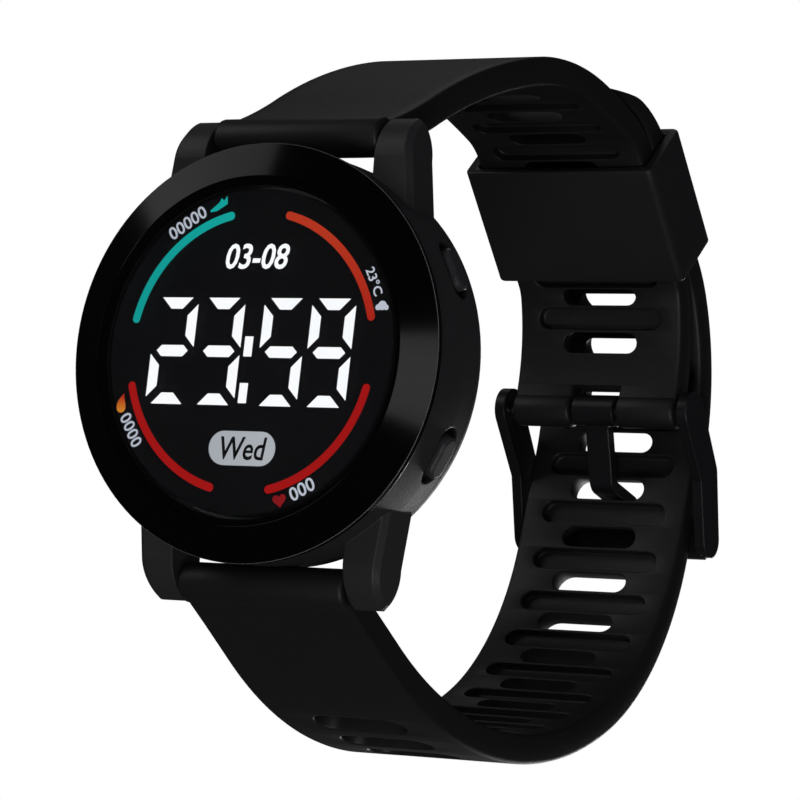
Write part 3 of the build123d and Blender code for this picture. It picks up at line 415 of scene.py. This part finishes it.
def piece_end(y, z, heading, length, turn):
    """The end of one arc, R (sin(h + T) - sin h, cos h - cos(h + T)) away for R = L / T, or of a
    straight, L (cos h, sin h) away."""
    if not turn:
        return y + length * np.cos(heading), z + length * np.sin(heading), heading
    radius = length / turn
    return (y + radius * (np.sin(heading + turn) - np.sin(heading)),
            z - radius * (np.cos(heading + turn) - np.cos(heading)), heading + turn)


def follow(start, pieces, distance):
    """Places (y, z, heading) at distances along arcs and straights: on an arc of length L and
    turn T the radius is L / T, and the place moves by R (sin(h + t) - sin h, cos h - cos(h + t))."""
    distance = np.asarray(distance, float)
    y, z, heading = start
    out = np.empty((3, *distance.shape))
    travelled = 0.0
    for number, (length, turn) in enumerate(pieces):
        here = distance >= travelled if number else np.full(distance.shape, True)
        part = distance - travelled
        ahead = heading + turn * part / length
        if turn:
            radius = length / turn
            moved = (y + radius * (np.sin(ahead) - np.sin(heading)),
                     z - radius * (np.cos(ahead) - np.cos(heading)), ahead)
        else:
            moved = (y + part * np.cos(heading), z + part * np.sin(heading), ahead)
        for axis in range(3):
            out[axis] = np.where(here, moved[axis], out[axis])
        y, z, heading = (float(value) for value in piece_end(y, z, heading, length, turn))
        travelled += length
    return out


fold_turn = STRAIGHT_DEG - UPPER_START_DEG - sum(turn for _, turn in UPPER_TOP)
upper_pieces = [(length, radians(turn)) for length, turn in (
    *UPPER_TOP, (radians(-fold_turn) * FOLD_R, fold_turn), (STRAIGHT_LENGTH, 0), *UPPER_END)]
upper_start = (*BAR_PLACE, radians(UPPER_START_DEG))
fold_at = sum(length for length, _ in UPPER_TOP)
straight_at = fold_at + upper_pieces[4][0]
upper_end_at = sum(length for length, _ in upper_pieces)
layer_step = (UPPER_THICK + LONG_THICK) / 2 + LAYER_GAP
straight_y, straight_z, straight_heading = follow(upper_start, upper_pieces, np.array([straight_at]))[:, 0]
long_start = (straight_y - layer_step * sin(straight_heading),
              straight_z + layer_step * cos(straight_heading), straight_heading)
long_pieces = [(length, radians(turn)) for length, turn in LONG_COURSE]
long_end_at = sum(length for length, _ in long_pieces)
tail_tip_at = fold_at - straight_at - TAIL_LENGTH


def along_upper(distance):
    """The buckle half's middle, from its spring bar to the buckle's."""
    return follow(upper_start, upper_pieces, distance)


def along_long(distance):
    """The long half follows its own arcs, and before them the upper half's, one layer out."""
    y, z, heading = follow(long_start, long_pieces, distance)
    uy, uz, uh = along_upper(distance + straight_at)
    on_tail = distance < 0
    return (np.where(on_tail, uy - layer_step * np.sin(uh), y),
            np.where(on_tail, uz + layer_step * np.cos(uh), z), np.where(on_tail, uh, heading))


def upper_faces(distance):
    """Heights of the outer and the skin face over the buckle half's middle, half its thickness
    to each side."""
    half = np.full(np.shape(distance), UPPER_THICK / 2)
    return half, -half


def long_faces(distance):
    """The long half thins along its tail: a parabola through the three thicknesses there."""
    half = LONG_THICK / 2
    knee = fold_at - straight_at
    at = np.array([0.0, knee, tail_tip_at])
    heights = np.array([half, TAIL_FOLD_THICK - half, TAIL_TIP_THICK - half])
    bend = np.polyfit(at, heights, 2)
    outer = np.where(distance < 0, np.polyval(bend, distance), half)
    return outer, np.full(np.shape(distance), -half)


def half_width(y, distance, tip_at=None):
    """Half the width, even from the lug's to the full one at the taper's end. At the tail's tip
    its corners are arcs: less R - sqrt(R2 - l2) for l = R - the distance from the tip."""
    wide = np.interp(y, (0, TAPER_END_Y), (STRAP_LUG_WIDTH / 2, STRAP_WIDTH / 2))
    if tip_at is None:
        return wide
    left = np.clip(TAIL_CORNER_R - (distance - tip_at), 0, TAIL_CORNER_R)
    return wide - TAIL_CORNER_R + np.sqrt(TAIL_CORNER_R ** 2 - left ** 2)


def loop_shapes():
    """One closed loop of points on a unit rectangle, and the same points on a stadium, each with
    the share of the half length at which its arc is centred and its arc's (cos, sin)."""
    over = np.linspace(-1, 1, ACROSS)
    up = np.linspace(-1, 1, ALONG)
    ones_over, ones_up = np.ones(ACROSS), np.ones(ALONG)
    rectangle = np.concatenate([
        np.column_stack([over, -ones_over])[:-1], np.column_stack([ones_up, up])[:-1],
        np.column_stack([over[::-1], ones_over])[:-1], np.column_stack([-ones_up, up[::-1]])[:-1]])
    arc = np.radians(np.linspace(-135, -90, ROUND + 1))
    flat = np.linspace(-1, 1, ACROSS - 2 * ROUND)
    low_centre = np.concatenate([-np.ones(ROUND), flat, np.ones(ROUND)])
    low_angle = np.concatenate([arc[:-1], np.full(len(flat), -np.pi / 2), -np.pi - arc[:-1][::-1]])
    side_angle = np.radians(np.linspace(-45, 45, ALONG))
    centre = np.concatenate([low_centre[:-1], np.ones(ALONG)[:-1], low_centre[::-1][:-1],
                             -np.ones(ALONG)[:-1]])
    angle = np.concatenate([low_angle[:-1], side_angle[:-1], low_angle[:-1] + np.pi,
                            side_angle[:-1] + np.pi])
    return rectangle, np.column_stack([centre, np.cos(angle), np.sin(angle)])


RECTANGLE, STADIUM = loop_shapes()


def grid_faces(rows, columns, closed):
    """Quads (r, c), (r, c + 1), (r + 1, c + 1), (r + 1, c) of a grid, its columns closed into a
    ring if asked."""
    row, column = np.meshgrid(np.arange(rows - 1), np.arange(columns - (not closed)), indexing="ij")
    after = (column + 1) % columns
    return np.stack([row * columns + column, row * columns + after, (row + 1) * columns + after,
                     (row + 1) * columns + column], -1).reshape(-1, 4)


def strap_skin(course, faces_at, width_at, tiles):
    """A strap half as tiles laid along its course, each a length of strap that is plain or has a
    slot or a groove, with one span on the outer face and one on the skin face. Round an opening
    loops run from the tile's rectangle to a stadium whose radius is r0 + h tan(draft) at height h."""
    points, quads, caps, used = [], [], [], 0

    def lay(x, distance, height, faces):
        nonlocal used
        y, z, heading = course(distance)
        spots = np.stack([x, y - height * np.sin(heading), z + height * np.cos(heading)], -1)
        points.append(spots.reshape(-1, 3))
        quads.append(faces + used)
        used += len(points[-1])

    quarter = np.linspace(0, np.pi / 2, ROUND)
    share = np.linspace(-1, 1, ACROSS)
    lean = np.concatenate([np.sin(quarter), np.sin(quarter[::-1])])
    drop = np.concatenate([1 - np.cos(quarter), 1 - np.cos(quarter[::-1])]) * STRAP_EDGE
    for kind, outer_span, inner_span in tiles:
        out_at, in_at = np.linspace(*outer_span, ALONG), np.linspace(*inner_span, ALONG)
        out_wide = width_at(course(out_at)[0], out_at) - STRAP_EDGE
        in_wide = width_at(course(in_at)[0], in_at) - STRAP_EDGE
        outer, inner = faces_at(out_at)[0], faces_at(in_at)[1]
        sheet = grid_faces(ALONG, ACROSS, False)
        for shown, at, wide, face in ((kind != "slot", out_at, out_wide, outer),
                                      (kind == "plain", in_at, in_wide, inner)):
            if shown:
                x = share[None, :] * wide[:, None]
                lay(x, np.broadcast_to(at[:, None], x.shape), np.broadcast_to(face[:, None], x.shape), sheet)
        upper_rim = np.arange(2 * ROUND) < ROUND
        at = np.where(upper_rim, out_at[:, None], in_at[:, None])
        wide = np.where(upper_rim, out_wide[:, None], in_wide[:, None]) + lean * STRAP_EDGE
        height = np.where(upper_rim, outer[:, None] - drop, inner[:, None] + drop)
        for side in (1, -1):
            lay(side * wide, at, height, grid_faces(ALONG, 2 * ROUND, False))
        if kind == "plain":
            continue
        length, tall = SLOT_SIZE if kind == "slot" else GROOVE_SIZE
        reach, centre = (length - tall) / 2, sum(inner_span) / 2
        loop_in = centre + RECTANGLE[:, 1] * (inner_span[1] - inner_span[0]) / 2
        loop_out = centre + RECTANGLE[:, 1] * (outer_span[1] - outer_span[0]) / 2
        out_face, in_face = faces_at(loop_out)[0], faces_at(loop_in)[1]
        rows = []
        if kind == "slot":
            rows.append((RECTANGLE[:, 0] * np.interp(loop_out, out_at, out_wide), loop_out, out_face))
            depth = np.mean(out_face - in_face)
            rims = [(SLOT_EDGE * (1 - np.sin(turn)), out_face - SLOT_EDGE * (1 - np.cos(turn)),
                     depth * SLOT_DRAFT) for turn in quarter]
        else:
            floor = in_face + GROOVE_DEPTH
            rims = [(-SLOT_EDGE * (1 - np.sin(turn)), floor - SLOT_EDGE * (1 - np.cos(turn)), 0)
                    for turn in quarter]
        rims += [(SKIN_EDGE * (1 - np.sin(turn)), in_face + SKIN_EDGE * (1 - np.cos(turn)), 0)
                 for turn in quarter[::-1]]
        for grow, height, draft in rims:
            radius = tall / 2 + draft + grow
            rows.append((STADIUM[:, 0] * reach + radius * STADIUM[:, 1], centre + radius * STADIUM[:, 2],
                         height))
        rows.append((RECTANGLE[:, 0] * np.interp(loop_in, in_at, in_wide), loop_in, in_face))
        if kind == "groove":
            caps.append(np.arange(used, used + len(RECTANGLE)))
        x, at, height = (np.array(values) for values in zip(*rows))
        lay(x, at, height, grid_faces(len(rows), len(RECTANGLE), True))
    everything = [list(quad) for quad in np.concatenate(quads).tolist()]
    return np.concatenate(points) * MM, everything + [cap.tolist() for cap in caps]


def as_piece(name, points, faces, material, body, slot, *stands_for):
    """Mesh from points and faces, its seams merged, open ends filled and faces turned outwards."""
    mesh = bpy.data.meshes.new(name)
    mesh.from_pydata(points.tolist(), [], faces)
    shape = bmesh.new()
    shape.from_mesh(mesh)
    bmesh.ops.remove_doubles(shape, verts=shape.verts, dist=SEAM)
    bmesh.ops.holes_fill(shape, edges=[edge for edge in shape.edges if edge.is_boundary], sides=0)
    bmesh.ops.recalc_face_normals(shape, faces=shape.faces)
    shape.to_mesh(mesh)
    shape.free()
    mesh.polygons.foreach_set("use_smooth", np.ones(len(mesh.polygons), bool))
    mesh.set_sharp_from_angle(angle=radians(CREASE_DEG))
    mesh.materials.append(material)
    piece = bpy.data.objects.new(name, mesh)
    bpy.context.scene.collection.objects.link(piece)
    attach(piece, body)
    if stands_for:
        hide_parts(*stands_for)
    return piece


def plain_run(begin, outer_end, inner_end, outer_begin=None):
    """Even plain tiles from a place, or from one place on each face, to where a slot tile starts."""
    count = max(1, round(abs(outer_end - begin) / PLAIN_TILE))
    outer = np.linspace(begin if outer_begin is None else outer_begin, outer_end, count + 1)
    inner = np.linspace(begin, inner_end, count + 1)
    return [("plain", *spans) for spans in zip(zip(outer[:-1], outer[1:]), zip(inner[:-1], inner[1:]))]


def tiling(begin, first, count, end):
    """Plain tiles, then slots and grooves in turn, then plain tiles to the end."""
    half = SLOT_PITCH / 2
    tiles = plain_run(begin, first - SLOT_TILE_OUT / 2, first - SLOT_TILE_IN / 2)
    for n in range(2 * count - 1):
        centre, out_half = first + n * half, half - SLOT_TILE_OUT / 2 if n % 2 else SLOT_TILE_OUT / 2
        tiles.append(("groove" if n % 2 else "slot", (centre - out_half, centre + out_half),
                      (centre - SLOT_TILE_IN / 2, centre + SLOT_TILE_IN / 2)))
    last = first + (count - 1) * SLOT_PITCH
    return tiles + plain_run(last + SLOT_TILE_IN / 2, end, end, last + SLOT_TILE_OUT / 2)


def tip_tiles(tip, until, count):
    """Plain tiles from the rounded tip on, whose ends lie at shares 1 - cos t of the way, so that
    they are short where the outline turns."""
    cuts = tip + (until - tip) * (1 - np.cos(np.linspace(0, np.pi / 2, count + 1)))
    return [("plain", span, span) for span in zip(cuts[:-1], cuts[1:])]


tail_until = tail_tip_at + TAIL_CORNER_R
as_piece("slotted_long_half", *strap_skin(
    along_long, long_faces, lambda y, at: half_width(y, at, tail_tip_at),
    tip_tiles(tail_tip_at + TIP_SUNK, tail_until, TIP_TILES)
    + tiling(tail_until, LONG_FIRST_SLOT, LONG_SLOT_COUNT, long_end_at)),
    silicone, "watch", "silicone", "lower_strap")
notch_from = upper_end_at - NOTCH_DEPTH
as_piece("slotted_buckle_half", *strap_skin(
    along_upper, upper_faces, half_width,
    tiling(0.0, UPPER_FIRST_SLOT, UPPER_SLOT_COUNT, notch_from)),
    silicone, "watch", "silicone", "upper_strap")


# Ends of the strap: each is moulded as a roll round its spring bar. The buckle end is split in
# two by the notch that the tongue turns in, with an ear from the strap to each half of its roll.
LUG_ROLL_R, BUCKLE_ROLL_R, BAR_HOLE_R, NOTCH_HALF = 1.98, 1.9, 0.79, 2.85
ROLL_POINTS, EAR_ROWS, EAR_SUNK, EAR_SHORT = 48, 6, 0.02, 1.0


def rounded_end():
    """Angles of the quarter round that finishes an edge."""
    return np.linspace(0, np.pi / 2, ROUND)


def roll(name, centre, radius, low, high):
    """A thick tube along X: the profile (r, x) of its wall, whose outer corners are quarter
    rounds, turned about the axis to (x, r cos a, r sin a)."""
    corner, edge = rounded_end(), STRAP_EDGE
    profile_r = np.concatenate([[BAR_HOLE_R], radius - edge * (1 - np.sin(corner)),
                                radius - edge * (1 - np.sin(corner[::-1])), [BAR_HOLE_R]])
    profile_x = np.concatenate([[low], low + edge * (1 - np.cos(corner)),
                                high - edge * (1 - np.cos(corner[::-1])), [high]])
    around = np.linspace(0, 2 * np.pi, ROLL_POINTS, endpoint=False)
    points = np.stack([np.broadcast_to(profile_x[:, None], (len(profile_x), ROLL_POINTS)),
                       centre[0] + profile_r[:, None] * np.cos(around),
                       centre[1] + profile_r[:, None] * np.sin(around)], -1)
    rows = np.concatenate([points, points[:1]]).reshape(-1, 3) * MM
    return as_piece(name, rows, grid_faces(len(profile_x) + 1, ROLL_POINTS, True).tolist(), silicone,
                    "watch", "silicone")


def ear(name, low, high):
    """A short length of the buckle half between two sides: its outline, a rectangle with quarter
    rounds at the corners, carried along the strap's middle."""
    corner = rounded_end()
    middle, half = (low + high) / 2, (high - low) / 2
    lean = half - STRAP_EDGE + STRAP_EDGE * np.sin(corner)
    tall = UPPER_THICK / 2 - STRAP_EDGE * (1 - np.cos(corner))
    across = middle + np.concatenate([lean, lean[::-1], -lean, -lean[::-1]])
    height = np.concatenate([tall, -tall[::-1], -tall, tall[::-1]])
    at = np.linspace(notch_from - EAR_SUNK, upper_end_at - EAR_SHORT, EAR_ROWS)
    y, z, heading = along_upper(at[:, None] + 0 * height)
    points = np.stack([np.broadcast_to(across, y.shape), y - height * np.sin(heading),
                       z + height * np.cos(heading)], -1).reshape(-1, 3) * MM
    return as_piece(name, points, grid_faces(EAR_ROWS, len(across), True).tolist(), silicone, "watch",
                    "silicone")


lug_half = STRAP_LUG_WIDTH / 2
roll("buckle_half_lug_roll", BAR_PLACE, LUG_ROLL_R, -lug_half, lug_half)
roll("long_half_lug_roll", (BAR_PLACE[0], -BAR_PLACE[1]), LUG_ROLL_R, -lug_half, lug_half)
buckle_bar = tuple(follow(upper_start, upper_pieces, np.array([upper_end_at]))[:2, 0])
for side, low, high in (("left", -STRAP_WIDTH / 2, -NOTCH_HALF), ("right", NOTCH_HALF, STRAP_WIDTH / 2)):
    roll(f"buckle_roll_{side}", buckle_bar, BUCKLE_ROLL_R, low, high)
    ear(f"buckle_ear_{side}", low, high)


# Keeper: a loop of the same silicone round both layers, glossier where the mould was polished
# and rounded along its rims. Its colour is painted lighter than the strap's, as painted light on it.
# It slides on the straight of the strap and only friction holds it.
# Both keeper colours are the strap's silicone painted lighter, as painted light; the slow noise mixes them
# at random.
KEEPER_LIGHTENED_BLACK, KEEPER_LIGHTENED_MOTTLE = "#232325", "#2a2a2c"
KEEPER_LENGTH, KEEPER_FROM, KEEPER_LIFT, KEEPER_RIM = 14.6, 0.3, 1.675, 0.25
KEEPER_OUTER, KEEPER_INNER = (23.0, 8.65, 0.9), (20.4, 6.65, 0.5)


def round_rectangle(width, height, corner):
    """Outline (across, up) of a rectangle with quarter round corners joined by straights, always
    with the same count of points."""
    quarter, straight = np.linspace(0, np.pi / 2, 7), np.linspace(0, 1, 6)[1:-1, None]
    corners = [np.column_stack([right * (width / 2 - corner) + corner * np.cos(quarter + turn),
                                up * (height / 2 - corner) + corner * np.sin(quarter + turn)])
               for right, up, turn in ((1, 1, 0), (-1, 1, np.pi / 2), (-1, -1, np.pi), (1, -1, -np.pi / 2))]
    return np.concatenate([np.concatenate([here, here[-1] + straight * (after[0] - here[-1])])
                           for here, after in zip(corners, corners[1:] + corners[:1])])


def keeper_skin():
    """A loop swept along the straight: at share u of the wall its outline is (1 - u) inner + u
    outer, and the wall's profile (u, along) has corners of the rim's radius at both ends."""
    turn, rim = np.linspace(0, np.pi / 2, 5), KEEPER_RIM
    wall = (KEEPER_OUTER[1] - KEEPER_INNER[1]) / 2
    low, high = rim * (1 - np.cos(turn)) / wall, rim * (1 - np.sin(turn))
    middle = np.linspace(rim, KEEPER_LENGTH - rim, 9)[1:-1]
    flat = np.ones(len(middle))
    share = np.concatenate([flat, 1 - low, low[::-1], 0 * flat, low, 1 - low[::-1]])
    along = np.concatenate([middle, KEEPER_LENGTH - high, KEEPER_LENGTH - high[::-1], middle[::-1],
                            high, high[::-1]])
    inner, outer = round_rectangle(*KEEPER_INNER), round_rectangle(*KEEPER_OUTER)
    outline = inner + np.append(share, share[0])[:, None, None] * (outer - inner)
    y, z, heading = along_upper(straight_at + KEEPER_FROM + np.append(along, along[0]))[:, :, None]
    height = outline[..., 1] + KEEPER_LIFT
    points = np.stack([outline[..., 0], y - height * np.sin(heading), z + height * np.cos(heading)], -1)
    return points.reshape(-1, 3) * MM, grid_faces(len(share) + 1, len(inner), True).tolist()


keeper_silicone_painted_lighter = moulded("moulded_keeper_silicone", KEEPER_LIGHTENED_BLACK, KEEPER_LIGHTENED_MOTTLE, rough=0.42,
                          grain=SILICONE_GRAIN, relief=0.15, soft=SILICONE_EDGE_SOFT)
as_piece("moulded_keeper_loop", *keeper_skin(), keeper_silicone_painted_lighter, "keeper", "silicone", "strap_keeper")


# Buckle: a frame of two arms and a crossbar with a tongue between them, cast in zinc alloy and
# coated satin black. The coat wears lighter along the edges. Both turn on the buckle's spring bar.
COAT_BLACK, COAT_WORN, COAT_ROUGH = "#252528", "#58585c", 0.33
COAT_GRAIN, COAT_EDGE_SOFT = 0.3 * MM, 0.25 * MM
WEAR_FROM, WEAR_TO, WEAR_MOST = 0.98, 0.7, 0.35

coated, tree, spot = finish_named("satin_black_coated_zinc")
fine = add(tree, "ShaderNodeTexNoise", {"Vector": spot, "Scale": 1 / COAT_GRAIN, "Detail": 2.0})
edge = add(tree, "ShaderNodeBevel", {"Radius": COAT_EDGE_SOFT}, {"samples": 8})
shade = add(tree, "ShaderNodeMix", {"Factor": edge_share(tree, edge, WEAR_FROM, WEAR_TO, WEAR_MOST),
                                    "A": linear(COAT_BLACK), "B": linear(COAT_WORN)},
            {"data_type": "RGBA"})
gloss = add(tree, "ShaderNodeMapRange", {"Value": fine.outputs["Fac"], "To Min": COAT_ROUGH - 0.05,
                                         "To Max": COAT_ROUGH + 0.07})
surface(tree, add(tree, "ShaderNodeBsdfPrincipled", {
    "Base Color": shade.outputs["Result"], "Roughness": gloss.outputs["Result"],
    "Normal": edge.outputs[0], "Metallic": 0.3}))
finish(coated, "buckle_frame", "buckle_tongue")


# Floor and surround: a pale painted floor well under the watch and a plain backdrop. Both are
# white to the camera and dim to the watch, as black card round a product leaves them, because
# the gloss black parts mirror a dark room in the photo.
FLOOR_DROP, FLOOR_HALF = -600 * MM, 6000 * MM
FLOOR_DARK, FLOOR_LIGHT, FLOOR_PATCH = "#606060", "#666666", 1000 * MM / 6
FLOOR_GLOW, FLOOR_MIRRORED = "#303030", "#101010"
ROOM_GLOW, ROOM_MIRRORED = "#6c6c6f", "#2a2a2d"


def white_to_the_eye(tree, soft, mirrored):
    """Colour that is white where the camera sees it, straight or through glass, dim in light that
    spreads and dimmer in mirrors."""
    ray = add(tree, "ShaderNodeLightPath", {})
    turns = add(tree, "ShaderNodeMath", {0: ray.outputs["Diffuse Depth"], 1: ray.outputs["Glossy Depth"]},
                {"operation": "ADD"})
    sharp = add(tree, "ShaderNodeMath", {0: turns.outputs[0], 1: 0.5}, {"operation": "LESS_THAN"})
    through = add(tree, "ShaderNodeMath", {0: ray.outputs["Is Transmission Ray"], 1: sharp.outputs[0]},
                  {"operation": "MULTIPLY"})
    seen = add(tree, "ShaderNodeMath", {0: ray.outputs["Is Camera Ray"], 1: through.outputs[0]},
               {"operation": "MAXIMUM"})
    dim = add(tree, "ShaderNodeMix", {"Factor": ray.outputs["Is Glossy Ray"], "A": linear(soft),
                                      "B": linear(mirrored)}, {"data_type": "RGBA"})
    white = add(tree, "ShaderNodeMix", {"Factor": seen.outputs[0], "A": dim.outputs["Result"],
                                        "B": (1, 1, 1, 1)}, {"data_type": "RGBA"})
    return white.outputs["Result"]


floor_mesh = bpy.data.meshes.new("pale_floor")
corners = [(x, y, FLOOR_DROP) for x, y in ((-FLOOR_HALF, -FLOOR_HALF), (FLOOR_HALF, -FLOOR_HALF),
                                           (FLOOR_HALF, FLOOR_HALF), (-FLOOR_HALF, FLOOR_HALF))]
floor_mesh.from_pydata(corners, [], [(0, 1, 2, 3)])
pale, tree, spot = finish_named("pale_floor_paint")
mottle = add(tree, "ShaderNodeTexNoise", {"Vector": spot, "Scale": 1 / FLOOR_PATCH})
paint = add(tree, "ShaderNodeMix", {"Factor": mottle.outputs["Fac"], "A": linear(FLOOR_DARK),
                                    "B": linear(FLOOR_LIGHT)}, {"data_type": "RGBA"})
surface(tree, add(tree, "ShaderNodeBsdfPrincipled", {
    "Base Color": paint.outputs["Result"], "Roughness": 0.95, "Specular IOR Level": 0.1,
    "Emission Color": white_to_the_eye(tree, FLOOR_GLOW, FLOOR_MIRRORED), "Emission Strength": 1.0}))
floor_mesh.materials.append(pale)
floor = bpy.data.objects.new("pale_floor", floor_mesh)
bpy.context.scene.collection.objects.link(floor)

world = bpy.data.worlds.new("white_surround")
bpy.context.scene.world = world
world.use_nodes = True
world.node_tree.nodes.clear()
tree = world.node_tree
backdrop = add(tree, "ShaderNodeBackground", {
    "Color": white_to_the_eye(tree, ROOM_GLOW, ROOM_MIRRORED), "Strength": 1.0})
add(tree, "ShaderNodeOutputWorld", {"Surface": backdrop.outputs[0]})


# Lamps: round softboxes. The bezel mirrors the one at the upper left between 10 and 12 o'clock and
# the one near the camera at 3 o'clock. The low one lights the inside of the strap, and weak ones
# above and behind draw the edges and the back.
LAMPS = (  # name, direction from the watch, distance in metres, (width, height), watts
    ("upper_left_softbox", (-0.69, -0.42, 0.585), 0.8, (0.44, 0.44), 0.6),
    ("near_camera_softbox", (0.262, -0.96, 0.01), 0.9, (0.24, 0.34), 0.5),
    ("low_front_softbox", (0.42, -0.72, -0.54), 0.9, (0.3, 0.3), 1.5),
    ("overhead_softbox", (-0.25, 0.5, 0.83), 0.9, (0.4, 0.4), 0.25),
    ("behind_softbox", (-0.1, 0.94, -0.3), 1.0, (0.4, 0.4), 2.6))

for name, direction, distance, size, watts in LAMPS:
    light = bpy.data.lights.new(name, "AREA")
    light.shape, light.size, light.size_y, light.energy = "ELLIPSE", *size, watts
    lamp = bpy.data.objects.new(name, light)
    outward = Vector(direction).normalized()
    facing = outward.to_track_quat("Z", "Y").to_matrix().to_4x4()
    lamp.matrix_world = Matrix.Translation(outward * distance) @ facing
    bpy.context.scene.collection.objects.link(lamp)


# Camera: a long lens about a third of a metre away, a little under the watch and to its right,
# looking up at the face, with the watch slightly turned in the picture as it was set down.
VIEW_TURN, VIEW_RISE, VIEW_ROLL = radians(29.552), radians(-5.458), radians(4.354)
VIEW_DISTANCE, VIEW_LENS, VIEW_SENSOR = 362 * MM, 168.54, 36.0
VIEW_ASIDE, VIEW_UP = 9.834 * MM, -3.490 * MM
VIEW_NEAREST, VIEW_FARTHEST = 10 * MM, 20000 * MM
VIEW_AIM = Vector((0, -2.05 * MM, 0))
sight = Vector((-sin(VIEW_TURN) * cos(VIEW_RISE), cos(VIEW_TURN) * cos(VIEW_RISE), -sin(VIEW_RISE)))
level = Vector((cos(VIEW_TURN), sin(VIEW_TURN), 0))
rise = level.cross(sight)
camera_right = level * cos(VIEW_ROLL) + rise * sin(VIEW_ROLL)
camera_up = rise * cos(VIEW_ROLL) - level * sin(VIEW_ROLL)
camera = bpy.data.objects.new("camera", bpy.data.cameras.new("camera"))
camera.data.lens, camera.data.sensor_width = VIEW_LENS, VIEW_SENSOR
camera.data.clip_start, camera.data.clip_end = VIEW_NEAREST, VIEW_FARTHEST
place = VIEW_AIM - sight * VIEW_DISTANCE + camera_right * VIEW_ASIDE + camera_up * VIEW_UP
turn = Matrix((camera_right, camera_up, -sight)).transposed().to_4x4()
camera.matrix_world = Matrix.Translation(place) @ turn
bpy.context.scene.collection.objects.link(camera)
bpy.context.scene.camera = camera
bpy.context.scene.view_settings.view_transform = "Standard"
